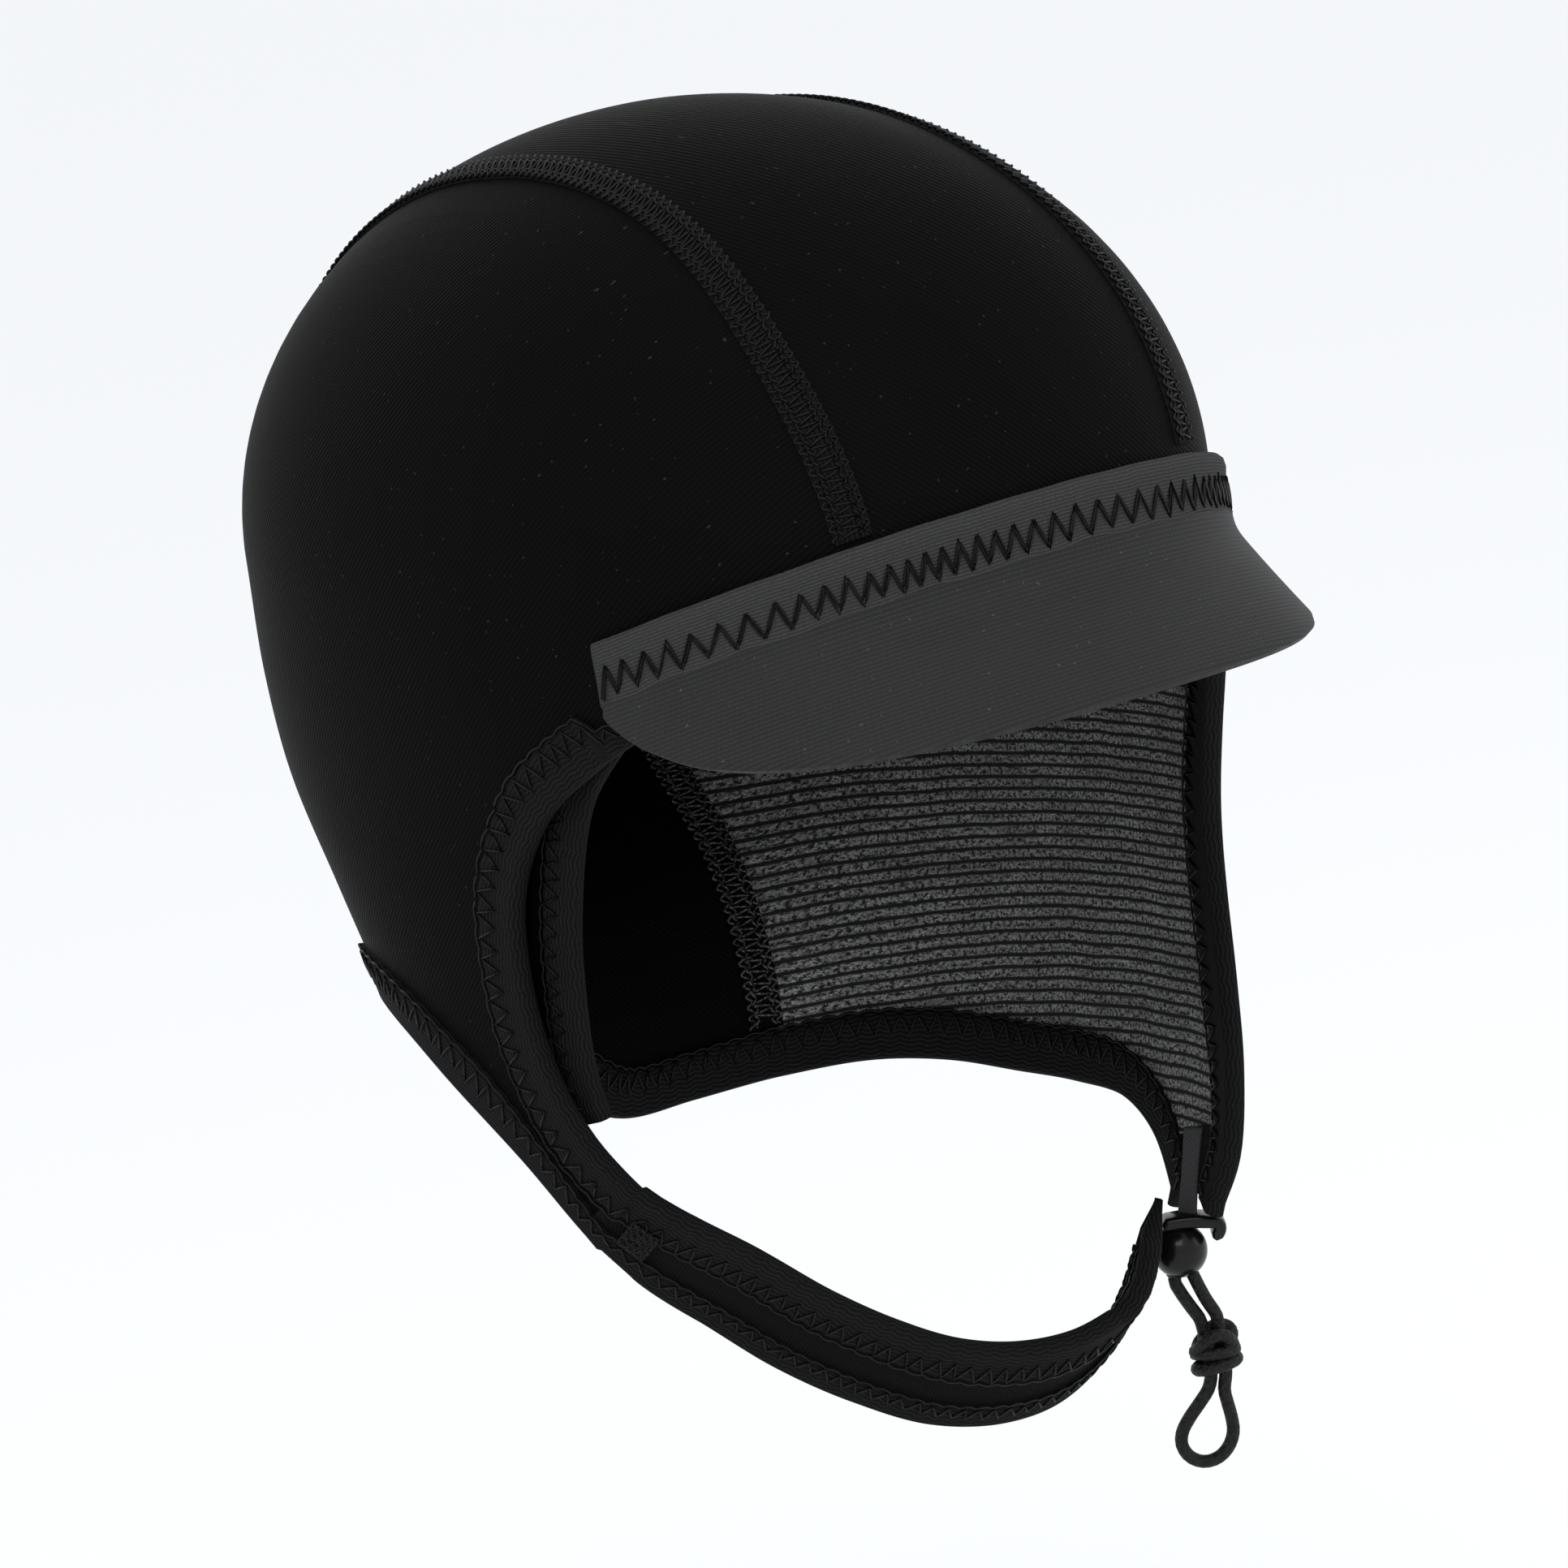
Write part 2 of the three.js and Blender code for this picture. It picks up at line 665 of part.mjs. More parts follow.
function faceFrames(rows) {
  const rim = rows.map((row) => row[0]);
  const frames = rimFrames(rim, rows.map((row) => row[1]));
  frames.forEach((frame, i) => {
    const point = rim[i];
    const azimuth = THREE.MathUtils.radToDeg(Math.atan2(Math.abs(point.x), -point.y));
    const room = browLevel(point.y) - point.z - peakHug;
    const free = azimuth > bandReach + 1.5;
    frame.reach = free ? bindingWidth : THREE.MathUtils.clamp(room, 0, bindingWidth);
  });
  return frames.filter((frame) => frame.reach > leastReach);
}

function earFrames(rows) {
  const rim = rows.map((row) => row[stations]);
  return rimFrames(rim, rows.map((row) => row[stations - 1])).slice(1);
}

function napeFrames(rows) {
  return rimFrames(rows[stations], rows[stations - 1]);
}

function innerFlapBinding(rows) {
  const rim = rows.map((row) => row[0]);
  const frames = rimFrames(rim, rows.map((row) => row[1]));
  for (const frame of frames) {
    frame.lift = -innerDepth;
    frame.thick = innerFlapWall;
    frame.reach = 0.8 * bindingWidth;
  }
  return binding(frames);
}

// Joins closed geometries into one
function joined(geometries) {
  let whole = null;
  for (const geometry of geometries) {
    const bare = geometry.clone();
    bare.deleteAttribute('normal');
    bare.deleteAttribute('uv');
    const merged = BufferGeometryUtils.mergeVertices(bare, 1e-4);
    const solid = new wasm.Manifold(new wasm.Mesh({
      numProp: 3,
      vertProperties: new Float32Array(merged.attributes.position.array),
      triVerts: new Uint32Array(merged.index.array),
    }));
    whole = whole ? whole.add(solid) : solid;
  }
  const mesh = whole.getMesh();
  const geometry = new THREE.BufferGeometry();
  geometry.setAttribute('position', new THREE.BufferAttribute(mesh.vertProperties, 3));
  geometry.setIndex(new THREE.BufferAttribute(mesh.triVerts, 1));
  return geometry;
}

// The lock's own frame: X along its plate, Z up
const lockPlace = strapPlace(lockRow);
const lockFrame = new THREE.Matrix4().makeRotationZ(THREE.MathUtils.degToRad(lockTurn)).setPosition(lockPlace);

function cordLock() {
  const ball = new THREE.SphereGeometry(ballDiameter / 2, 16, 10);
  ball.rotateX(Math.PI / 2);
  const rise = ballDiameter / 2 + lockPlateThickness;
  const plate = new THREE.Shape();
  const half = lockPlateLength / 2;
  plate.moveTo(-half, rise);
  plate.quadraticCurveTo(0.1 * half, rise + 0.1 * half, half, rise - 0.28 * half);
  plate.quadraticCurveTo(1.4 * half, rise - 0.5 * half, 1.05 * half, rise - 0.95 * half);
  plate.lineTo(0.7 * half, rise - 1.2 * half);
  plate.lineTo(0.55 * half, rise - 0.95 * half);
  plate.quadraticCurveTo(0.95 * half, rise - 0.65 * half, 0.6 * half, rise - 0.5 * half);
  plate.lineTo(-half, rise - lockPlateThickness);
  const saddle = new THREE.ExtrudeGeometry(plate, {
    depth: lockPlateWidth,
    bevelEnabled: false,
    curveSegments: 5,
  });
  saddle.rotateX(Math.PI / 2);
  saddle.translate(lockPlateShift, lockPlateWidth / 2, 0);
  return joined([ball, saddle]).applyMatrix4(lockFrame);
}

function lockPoint([out, up]) {
  return new THREE.Vector3(out, 0, up).applyMatrix4(lockFrame);
}

function cordTube(places, steps) {
  const round = new THREE.Shape();
  round.absarc(0, 0, cordDiameter / 2, 0, 2 * Math.PI);
  const path = new THREE.CatmullRomCurve3(places.map(lockPoint), false, 'centripetal');
  return new THREE.ExtrudeGeometry(round, { steps, extrudePath: path, curveSegments: 4, bevelEnabled: false });
}

// The knot: two wraps round the cords and a bight over them
function knot() {
  const r = cordDiameter / 2;
  const wrap = (knotWidth - cordDiameter) / 2;
  const pieces = [-0.75, 0.75].map((level) => {
    const ring = new THREE.TorusGeometry(wrap, 1.15 * r, 6, 12);
    ring.scale(1, 0.75, 1);
    return ring.translate(0, 0, level * cordDiameter - r);
  });
  const core = new THREE.SphereGeometry(wrap, 10, 6);
  core.scale(1, 0.75, 1);
  const bight = new THREE.TorusGeometry(0.5 * wrap, 1.1 * r, 6, 10);
  bight.rotateX(Math.PI / 2);
  bight.translate(0.3 * wrap, 0, cordDiameter);
  const geometry = joined([core, ...pieces, bight]);
  geometry.translate(knotCentre[0], 0, knotCentre[1]);
  return geometry.applyMatrix4(lockFrame);
}

// A small block of dense stitches on the form or strap
function bartack(middle, along, across, out, lift) {
  const ring = (end) => {
    const spots = [
      [-0.5, 0], [0.5, 0], [0.42, 1], [-0.42, 1],
    ];
    return spots.map(([s, h]) => middle.clone()
      .addScaledVector(along, (end * bartackLength) / 2)
      .addScaledVector(across, s * bartackWidth)
      .addScaledVector(out, lift + h * bartackThickness));
  };
  return loft([ring(-1), ring(-0.5), ring(0.5), ring(1)], sheetCap(2));
}

// The tab: a flat strip on the inside of the left tip that carries the lock
function flapTab(face, ear) {
  const tip = face[sideRows].clone().add(ear[sideRows]).multiplyScalar(0.5);
  const depth = wall + bindingLift + bindingThickness + clearance + tabThickness / 2;
  const rings = [];
  const foot = lockPoint([lockPlateShift, ballDiameter / 2 + lockPlateThickness + 2 * clearance]);
  for (const share of [0, 0.35, 0.7, 1]) {
    const high = ontoForm(tip.clone().add(new THREE.Vector3(0, 0, tabLength)));
    high.addScaledVector(formNormal(high), -depth);
    const middle = high.lerp(foot, share);
    const across = new THREE.Vector3(0, -1, 0).applyAxisAngle(new THREE.Vector3(0, 0, 1), 0.2);
    const out = new THREE.Vector3(0, 0, 1).cross(across).normalize();
    rings.push([[-0.5, 0], [0.5, 0], [0.5, -1], [-0.5, -1]].map(([s, h]) => middle.clone()
      .addScaledVector(across, s * tabWidth)
      .addScaledVector(out, -h * tabThickness)));
  }
  return loft(rings, sheetCap(2));
}

// Finishes
const neoprene = new THREE.MeshStandardMaterial({ color: 0x0c0b0b, roughness: 0.72, metalness: 0 });
const jersey = new THREE.MeshStandardMaterial({ color: 0x16161a, roughness: 0.85, metalness: 0 });
const greyNeoprene = new THREE.MeshStandardMaterial({ color: 0x2c2c2d, roughness: 0.75, metalness: 0 });
const greyTape = new THREE.MeshStandardMaterial({ color: 0x3a3a3b, roughness: 0.85, metalness: 0 });
const thread = new THREE.MeshStandardMaterial({ color: 0x08080a, roughness: 0.6, metalness: 0 });
const gloss = new THREE.MeshStandardMaterial({ color: 0x050505, roughness: 0.22, metalness: 0 });
const braid = new THREE.MeshStandardMaterial({ color: 0x101011, roughness: 0.7, metalness: 0 });

const group = new THREE.Group();
group.position.z = wall - crownHeight;

function add(name, geometry, material) {
  const mesh = new THREE.Mesh(geometry, material);
  mesh.name = name;
  group.add(mesh);
}

// Crown panels
const centreRows = centrePanelRows();
const rightRows = sidePanelPlaces(-1, faceRimRight, earRimRight);
const leftRows = sidePanelPlaces(1, faceRimLeft, earRimLeft);
add('centre_panel', sheet(centreRows, 0, wall), neoprene);
add('side_panel_right', sheet(rightRows, 0, wall), neoprene);
add('side_panel_left', sheet(leftRows, 0, wall), neoprene);

// Seams
add('seam_right', seamStrip(-1, true), thread);
add('seam_left', seamStrip(1, true), thread);
add('seam_inside_right', seamStrip(-1, false), thread);
add('seam_inside_left', seamStrip(1, false), thread);

// Brow band and peak
add('brow_band', browBand(), greyTape);
add('peak', peak(), greyNeoprene);

// Chin strap, from the right tip round to the lock
const tipFace = rightRows.map((row) => row[0]);
const tipEar = rightRows.map((row) => row[stations]);
const strap = strapFrames(tipFace, tipEar);
add('chin_strap', chinStrap(strap), jersey);

// Bound edges: the right face rim runs on along the strap's upper edge, and the nape rim
// runs from the left tip round the back and on along the strap's lower edge
const faceRight = narrowTowardsTip(faceFrames(rightRows), strapTopBinding);
const faceLeft = narrowTowardsTip(faceFrames(leftRows), tipBinding);
const earRight = narrowTowardsTip(earFrames(rightRows), strapLowBinding);
const earLeft = narrowTowardsTip(earFrames(leftRows), tipBinding);
const nape = napeFrames(centreRows);
add('face_binding_right', binding([...faceRight, ...strapEdgeFrames(strap, 1, strapTopBinding)]), jersey);
add('face_binding_left', binding(faceLeft), jersey);
add('nape_binding', binding([
  ...earLeft.reverse(),
  ...nape.reverse(),
  ...earRight,
  ...strapEdgeFrames(strap, -1, strapLowBinding),
]), jersey);

// Inner flap behind the right face rim
const innerRows = innerFlapRowsOnForm();
add('inner_flap_right', sheet(innerRows, innerDepth, innerFlapWall), jersey);
add('inner_flap_binding', innerFlapBinding(innerRows), jersey);

// Dense stitches at the right tip, lying over both bindings
const tack = strap[1];
const tackLift = bindingLift + bindingThickness + clearance;
add('bartack_right', bartack(tack.middle, tack.along, tack.across, tack.out, tackLift), thread);

// Lock, tab and elastic cord
add('flap_tab', flapTab(leftRows.map((row) => row[0]), leftRows.map((row) => row[stations])), greyNeoprene);
add('cord_lock', cordLock(), gloss);
add('cord_leg_left', cordTube(cordLegDown, 4), braid);
add('cord_leg_right', cordTube(cordLegUp, 4), braid);
add('cord_knot', knot(), braid);
add('cord_loop', cordTube(cordLoop, 20), braid);

export default group;
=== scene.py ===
"""Looks of the neoprene surf cap, in metres, in the row frame: +Z up, forehead towards -Y."""

import math

import bpy
import numpy as np
from mathutils import Matrix, Vector


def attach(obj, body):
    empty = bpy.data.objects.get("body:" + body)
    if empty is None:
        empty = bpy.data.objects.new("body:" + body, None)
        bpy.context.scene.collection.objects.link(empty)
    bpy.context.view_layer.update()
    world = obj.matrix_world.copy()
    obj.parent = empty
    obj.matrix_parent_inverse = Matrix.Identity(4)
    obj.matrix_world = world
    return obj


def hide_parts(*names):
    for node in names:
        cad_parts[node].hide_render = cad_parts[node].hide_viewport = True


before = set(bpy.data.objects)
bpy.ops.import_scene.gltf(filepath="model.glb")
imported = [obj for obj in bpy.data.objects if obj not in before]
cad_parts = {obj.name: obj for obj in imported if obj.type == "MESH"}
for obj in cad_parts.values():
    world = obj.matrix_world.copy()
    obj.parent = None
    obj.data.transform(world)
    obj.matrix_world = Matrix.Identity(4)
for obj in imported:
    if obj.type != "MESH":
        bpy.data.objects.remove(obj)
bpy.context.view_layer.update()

MM = 0.001

# Head form, in millimetres, as the solids have it
HALF_WIDTH = 78.0
BROW_LENGTH = 99.8
BACK_LENGTH = 101.5
CROWN_HEIGHT = 74.5
SIDE_DROP = 160.0
SQUARENESS = 2.15
WALL = 2.0
ORIGIN_DROP = CROWN_HEIGHT - WALL
BROW_DROP = 5.8
BROW_SLOPE = math.tan(math.radians(16.3))
BAND_HEIGHT = 11.0
BAND_REACH = 53.0
PEAK_REACH = 52.0
PEAK_LENGTH = 32.0
PEAK_THICKNESS = 2.6
BINDING_WIDTH = 9.0
STRAP_WIDTH = 17.0
STRAP_THICKNESS = 2.0
STRAP_TOP = 7.2
STRAP_LOW = 4.6
TIP_BINDING = 5.8
BALL_RADIUS = 5.2
PLATE_LENGTH = 10.0
PLATE_WIDTH = 7.0
PLATE_SHIFT = 2.4
PLATE_THICKNESS = 1.5
CORD_DIAMETER = 2.5

# drop, width, back, brow: shares of the side drop, half width, back length and brow length
FORM = np.array([
    (0, 1, 1, 1), (0.125, 0.998, 1.012, 0.997), (0.25, 0.984, 0.985, 0.99),
    (0.375, 0.98, 0.845, 0.975), (0.5, 0.972, 0.7, 0.952), (0.625, 0.95, 0.65, 0.925),
    (0.75, 0.902, 0.66, 0.902), (0.875, 0.83, 0.67, 0.87), (1, 0.72, 0.64, 0.82),
])
# run, half width of the centre panel
SEAM = np.array([(0, 0.472), (0.15, 0.485), (0.3, 0.42), (0.45, 0.39), (0.65, 0.395), (0.85, 0.41), (1, 0.41)])
# across, drop of the nape rim
NAPE = np.array([(-1, 0.585), (-0.66, 0.655), (-0.33, 0.72), (0, 0.757), (0.5, 0.76), (1, 0.757)])
# ahead of or behind the ear line, drop
FACE_RIGHT = [(0.59, 0.15), (0.475, 0.19), (0.325, 0.254), (0.228, 0.345), (0.203, 0.456),
              (0.222, 0.55), (0.268, 0.625), (0.335, 0.685)]
EAR_RIGHT = [(-0.215, 0.745), (-0.1, 0.648), (0.06, 0.563), (0.19, 0.515), (0.32, 0.492),
             (0.44, 0.491), (0.53, 0.52)]
FACE_LEFT = [(0.665, 0.17), (0.56, 0.27), (0.475, 0.36), (0.415, 0.46), (0.405, 0.56),
             (0.43, 0.66), (0.467, 0.755), (0.472, 0.845), (0.42, 0.905)]
EAR_LEFT = [(-0.26, 0.905), (-0.17, 0.847), (-0.06, 0.81), (0.09, 0.797), (0.24, 0.786),
            (0.38, 0.768), (0.5, 0.757)]
INNER_FLAP = [(0.52, 0.165), (0.39, 0.25), (0.312, 0.38), (0.286, 0.464), (0.27, 0.56), (0.285, 0.64)]
# across, ahead, drop, width, lean ahead, lean to the side
STRAP = np.array([
    (-0.8, 0.325, 0.765, 1, 0.75, 0.1), (-0.64, 0.34, 0.832, 1, 0.68, 0.12),
    (-0.475, 0.35, 0.902, 1, 0.62, 0.08), (-0.3, 0.36, 0.963, 1, 0.58, 0),
    (-0.12, 0.372, 1.012, 1, 0.57, 0), (0.07, 0.375, 1.04, 1, 0.6, -0.05),
    (0.25, 0.368, 1.046, 1, 0.68, -0.15), (0.405, 0.348, 1.03, 0.95, 0.78, -0.35),
    (0.493, 0.359, 0.992, 0.8, 0.84, -0.5), (0.54, 0.362, 0.955, 0.6, 0.84, -0.54),
    (0.56, 0.366, 0.931, 0.44, 0.84, -0.54),
])
LOCK = np.array([0.667 * HALF_WIDTH, -0.3266 * BROW_LENGTH, -0.9619 * SIDE_DROP])
LOCK_TURN = math.radians(-35.3)
STRAP_END = np.array([-8.35, -3.9, 4.95])

# The cord's route in the upright plane through the ball: to the side, above the centre
CORD_ROUTE = [
    (-1.5, -4.4), (-1.9, -5.8), (-1.3, -7.6), (-0.4, -9.6), (0.7, -11.8), (1.6, -13.6), (2, -16.5), (2.1, -20.5),
    (2.1, -24.5), (1.2, -27.2), (-0.8, -29.6), (-3.2, -32.2), (-5, -34.8), (-5.4, -37.2), (-4.3, -39.6),
    (-1.9, -41), (0.9, -40.7), (3.2, -38.9), (4.5, -36.2), (4.6, -33.4), (4.3, -30.6), (4.1, -28), (4.9, -24.5),
    (5, -20.5), (4.9, -16.5), (4.8, -13.4), (4.1, -11.8), (3.3, -10), (2.6, -8), (1.9, -5.8), (1.5, -4.4),
]
KNOT_CENTRE = (3.5, -19.6)


# ---------------------------------------------------------------- form maths
def column(table, name, at):
    keys, values = table[:, 0], table[:, name]
    last = len(keys) - 1
    low = np.maximum(np.arange(last + 1) - 1, 0)
    high = np.minimum(np.arange(last + 1) + 1, last)
    slope = (values[high] - values[low]) / (keys[high] - keys[low])
    place = np.clip(at, keys[0], keys[-1])
    i = np.searchsorted(keys[1:last], place, side="left")
    span = keys[i + 1] - keys[i]
    t = (place - keys[i]) / span
    start = values[i] * (2 * t**3 - 3 * t**2 + 1) + slope[i] * span * (t**3 - 2 * t**2 + t)
    return start + values[i + 1] * (3 * t**2 - 2 * t**3) + slope[i + 1] * span * (t**3 - t**2)


def form_sizes(z):
    drop = np.maximum(-z, 0) / SIDE_DROP
    side = HALF_WIDTH * column(FORM, 1, drop)
    return side, BACK_LENGTH * column(FORM, 2, drop), BROW_LENGTH * column(FORM, 3, drop)


def form_value(p):
    side, back, brow = form_sizes(p[..., 2])
    reach = np.where(p[..., 1] > 0, back, brow)
    level = (np.abs(p[..., 0]) / side) ** SQUARENESS + (np.abs(p[..., 1]) / reach) ** SQUARENESS
    return level ** (2 / SQUARENESS) + (np.maximum(p[..., 2], 0) / CROWN_HEIGHT) ** 2 - 1


def form_gradient(p):
    slope = np.zeros_like(p)
    for axis in range(3):
        step = np.zeros(3)
        step[axis] = 0.05
        slope[..., axis] = (form_value(p + step) - form_value(p - step)) / 0.1
    return slope


def unit(v):
    return v / np.linalg.norm(v, axis=-1, keepdims=True)


def form_normal(p):
    return unit(form_gradient(p))


def onto_form(p):
    for _ in range(4):
        slope = form_gradient(p)
        p = p - slope * (form_value(p) / (slope**2).sum(-1))[..., None]
    return p


def points(x, y, z):
    return np.stack(np.broadcast_arrays(x, y, z), -1).astype(float)


def side_point(side, y, z):
    wide, back, brow = form_sizes(z)
    reach = np.where(y > 0, back, brow)
    full = (1 - (np.maximum(z, 0) / CROWN_HEIGHT) ** 2) ** (SQUARENESS / 2)
    rest = np.maximum(full - (np.abs(y) / reach) ** SQUARENESS, 0)
    return points(side * wide * rest ** (1 / SQUARENESS), y, z)


def brow_point(azimuth, height):
    side, ahead = np.sin(azimuth), np.cos(azimuth)
    z = np.full(np.shape(azimuth), -BROW_DROP)
    for _ in range(8):
        wide, _back, brow = form_sizes(z)
        level = (np.abs(side) / wide) ** SQUARENESS + (ahead / brow) ** SQUARENESS
        radius = np.sqrt(1 - (np.maximum(z, 0) / CROWN_HEIGHT) ** 2) / level ** (1 / SQUARENESS)
        z = height - BROW_DROP - BROW_SLOPE * (BROW_LENGTH - ahead * radius)
    return points(side * radius, -ahead * radius, z)


def brow_level(y):
    return -BROW_DROP - BROW_SLOPE * (y + BROW_LENGTH)


DOME_RUN = (math.pi / 4) * (BROW_LENGTH + BACK_LENGTH + 2 * CROWN_HEIGHT)


def crown_point(x, run):
    z = np.where(run > DOME_RUN, DOME_RUN - run, np.minimum(run, 0))
    wide, back, brow = form_sizes(z)
    flat = np.maximum(1 - (np.abs(x) / wide) ** SQUARENESS, 0) ** (1 / SQUARENESS)
    share = np.abs(x) / HALF_WIDTH
    rise = np.sin(np.clip(math.pi * run / DOME_RUN, 0, math.pi)) * np.sqrt(1 - share**2)
    level = np.maximum((1 - rise**2) ** (SQUARENESS / 2) - share**SQUARENESS, 0) ** (1 / SQUARENESS)
    reach = np.where(run < DOME_RUN / 2, -BROW_LENGTH, BACK_LENGTH)
    y = np.where(run > DOME_RUN, back * flat, np.where(run < 0, -brow * flat, reach * level))
    return points(x, y, np.where((run > 0) & (run < DOME_RUN), CROWN_HEIGHT * rise, z))


def centre_point(across, along, beyond=0.0):
    x = across * (HALF_WIDTH * column(SEAM, 1, along) + beyond)
    wide, _back, brow = form_sizes(np.full(np.shape(x), -BROW_DROP))
    front = -brow * (1 - (np.abs(x) / wide) ** SQUARENESS) ** (1 / SQUARENESS)
    nape = SIDE_DROP * column(NAPE, 1, across)
    start = brow_level(front)
    return crown_point(x, start + (DOME_RUN + nape - start) * along)


class Spline:
    """Catmull-Rom curve through points: centripetal, or uniform with a tension of a half."""

    def __init__(self, through, centripetal=True):
        p = np.asarray(through, float)
        self.p = np.vstack([2 * p[0] - p[1], p, 2 * p[-1] - p[-2]])
        self.centripetal = centripetal

    def at(self, t):
        t = np.atleast_1d(np.asarray(t, float))
        last = len(self.p) - 3
        i = np.minimum(np.floor(last * t).astype(int), last - 1)
        w = (last * t - i)[:, None]
        a, b, c, d = self.p[i], self.p[i + 1], self.p[i + 2], self.p[i + 3]
        if self.centripetal:
            gap = [np.linalg.norm(v - u, axis=1)[:, None] ** 0.5 for u, v in ((a, b), (b, c), (c, d))]
            first = ((b - a) / gap[0] - (c - a) / (gap[0] + gap[1]) + (c - b) / gap[1]) * gap[1]
            second = ((c - b) / gap[1] - (d - b) / (gap[1] + gap[2]) + (d - c) / gap[2]) * gap[1]
        else:
            first, second = 0.5 * (c - a), 0.5 * (d - b)
        return (b + first * w + (-3 * b + 3 * c - 2 * first - second) * w**2
                + (2 * b - 2 * c + first + second) * w**3)

    def evenly(self, count):
        t = np.linspace(0, 1, 401)
        steps = np.linalg.norm(np.diff(self.at(t), axis=0), axis=1)
        arc = np.concatenate([[0], np.cumsum(steps)])
        return self.at(np.interp(np.linspace(0, arc[-1], count + 1), arc, t))

    def tangent(self, t):
        low, high = np.maximum(t - 1e-4, 0), np.minimum(t + 1e-4, 1)
        return unit(self.at(high) - self.at(low))


def side_places(rows, behind):
    out = []
    for place, drop in rows:
        reach = BACK_LENGTH if behind and place >= 0 else BROW_LENGTH
        out.append((0, place * reach if behind else -place * reach, -drop * SIDE_DROP))
    return out


def side_panel(side, face_rows, ear_rows, stations, rows):
    u = np.linspace(0, 1, stations + 1)
    seam = centre_point(np.full(stations + 1, float(side)), u, 0.05)
    seam[:, 0] = 0
    temple = -face_rows[0][0] * BROW_LENGTH
    brow = []
    for share in (0.3, 0.65):
        y = seam[0, 1] + (temple - seam[0, 1]) * share
        brow.append((0, y, brow_level(y)))
    face = Spline([seam[0], *brow, *side_places(face_rows, False)]).evenly(rows)
    ear = Spline([seam[-1], *side_places(ear_rows, True)[::-1]]).evenly(rows)
    arch = (1 - np.linspace(0, 1, rows + 1)) ** 1.75
    chord = seam[0] + (seam[-1] - seam[0]) * u[:, None]
    place = face[:, None] * (1 - u)[None, :, None] + ear[:, None] * u[None, :, None]
    place = place + arch[:, None, None] * (seam - chord)[None]
    return side_point(side, place[..., 1], place[..., 2])


def arc_of(line):
    return np.concatenate([[0], np.cumsum(np.linalg.norm(np.diff(line, axis=0), axis=1))])


# ---------------------------------------------------------------- meshes
def mesh_object(name, verts, faces, uvs=None, mats=(), face_mats=None, smooth=True):
    mesh = bpy.data.meshes.new(name)
    mesh.from_pydata((np.asarray(verts) * MM + (0, 0, -ORIGIN_DROP * MM)).tolist(), [], faces)
    if uvs is not None:
        layer = mesh.uv_layers.new(name="place")
        loops = np.array([v for face in faces for v in face])
        layer.data.foreach_set("uv", (np.asarray(uvs)[loops] * MM).astype(np.float32).ravel())
    for mat in mats:
        mesh.materials.append(mat)
    if face_mats is not None:
        mesh.polygons.foreach_set("material_index", np.asarray(face_mats, np.int32))
    if smooth:
        mesh.polygons.foreach_set("use_smooth", np.ones(len(mesh.polygons), bool))
    mesh.validate()
    obj = bpy.data.objects.new(name, mesh)
    bpy.context.scene.collection.objects.link(obj)
    return obj


def grid_faces(rows, cols, closed, base=0):
    out = []
    width = cols if closed else cols - 1
    for j in range(rows - 1):
        for i in range(width):
            a, b = base + j * cols + i, base + j * cols + (i + 1) % cols
            out.append((a, b, b + cols, a + cols))
    return out


def outward(verts, faces):
    """The faces, turned if the closed body is inside out."""
    v = np.asarray(verts)
    volume = 0.0
    for face in faces:
        for k in range(1, len(face) - 1):
            volume += np.dot(v[face[0]], np.cross(v[face[k]], v[face[k + 1]]))
    return faces if volume > 0 else [tuple(reversed(f)) for f in faces]


def loft(name, rings, uvs, mats, face_mat=None):
    n, m = rings.shape[:2]
    faces = grid_faces(n, m, True)
    faces.append(tuple(range(m))[::-1])
    faces.append(tuple(range((n - 1) * m, n * m)))
    index = [0] * len(faces) if face_mat is None else [face_mat(k // m, k % m) for k in range((n - 1) * m)] + [0, 0]
    verts = rings.reshape(-1, 3)
    return mesh_object(name, verts, outward(verts, faces), uvs.reshape(-1, 2), mats, index)


def sheet(name, outer, depth, thickness, uv, mats, plain=0):
    """A wall with its own finish on the inner face, but for the last few plain rows."""
    normal = form_normal(outer)
    top = outer - normal * depth
    under = outer - normal * (depth + thickness)
    n, m = outer.shape[:2]
    rings = np.concatenate([top, under[:, ::-1]], 1)
    uvs = np.concatenate([uv, uv[:, ::-1]], 1)
    obj = loft(name, rings, uvs, mats, lambda row, i: 1 if m <= i < 2 * m - 1 and row < n - plain else 0)
    mod = obj.modifiers.new("edges", "EDGE_SPLIT")
    mod.split_angle = math.radians(55)
    return obj


def tubes(name, paths, radius, mat, sides=5, normals=None):
    """Many thin round threads as one mesh. Each path is an array of points."""
    verts, faces, base = [], [], 0
    turn = np.linspace(0, 2 * math.pi, sides, endpoint=False)
    for path in paths:
        path = np.asarray(path)
        tangent = unit(np.gradient(path, axis=0) + 1e-9)
        helper = np.where(np.abs(tangent[:, 2:3]) > 0.9, (1.0, 0, 0), (0, 0, 1.0))
        a = unit(np.cross(tangent, helper))
        b = np.cross(tangent, a)
        ring = path[:, None] + radius * (np.cos(turn)[None, :, None] * a[:, None] + np.sin(turn)[None, :, None] * b[:, None])
        verts.append(ring.reshape(-1, 3))
        faces += grid_faces(len(path), sides, True, base)
        faces.append(tuple(range(base, base + sides))[::-1])
        faces.append(tuple(range(base + (len(path) - 1) * sides, base + len(path) * sides)))
        base += len(path) * sides
    verts = np.concatenate(verts)
    uvs = np.zeros((len(verts), 2))
    return mesh_object(name, verts, outward(verts, faces), uvs, [mat])


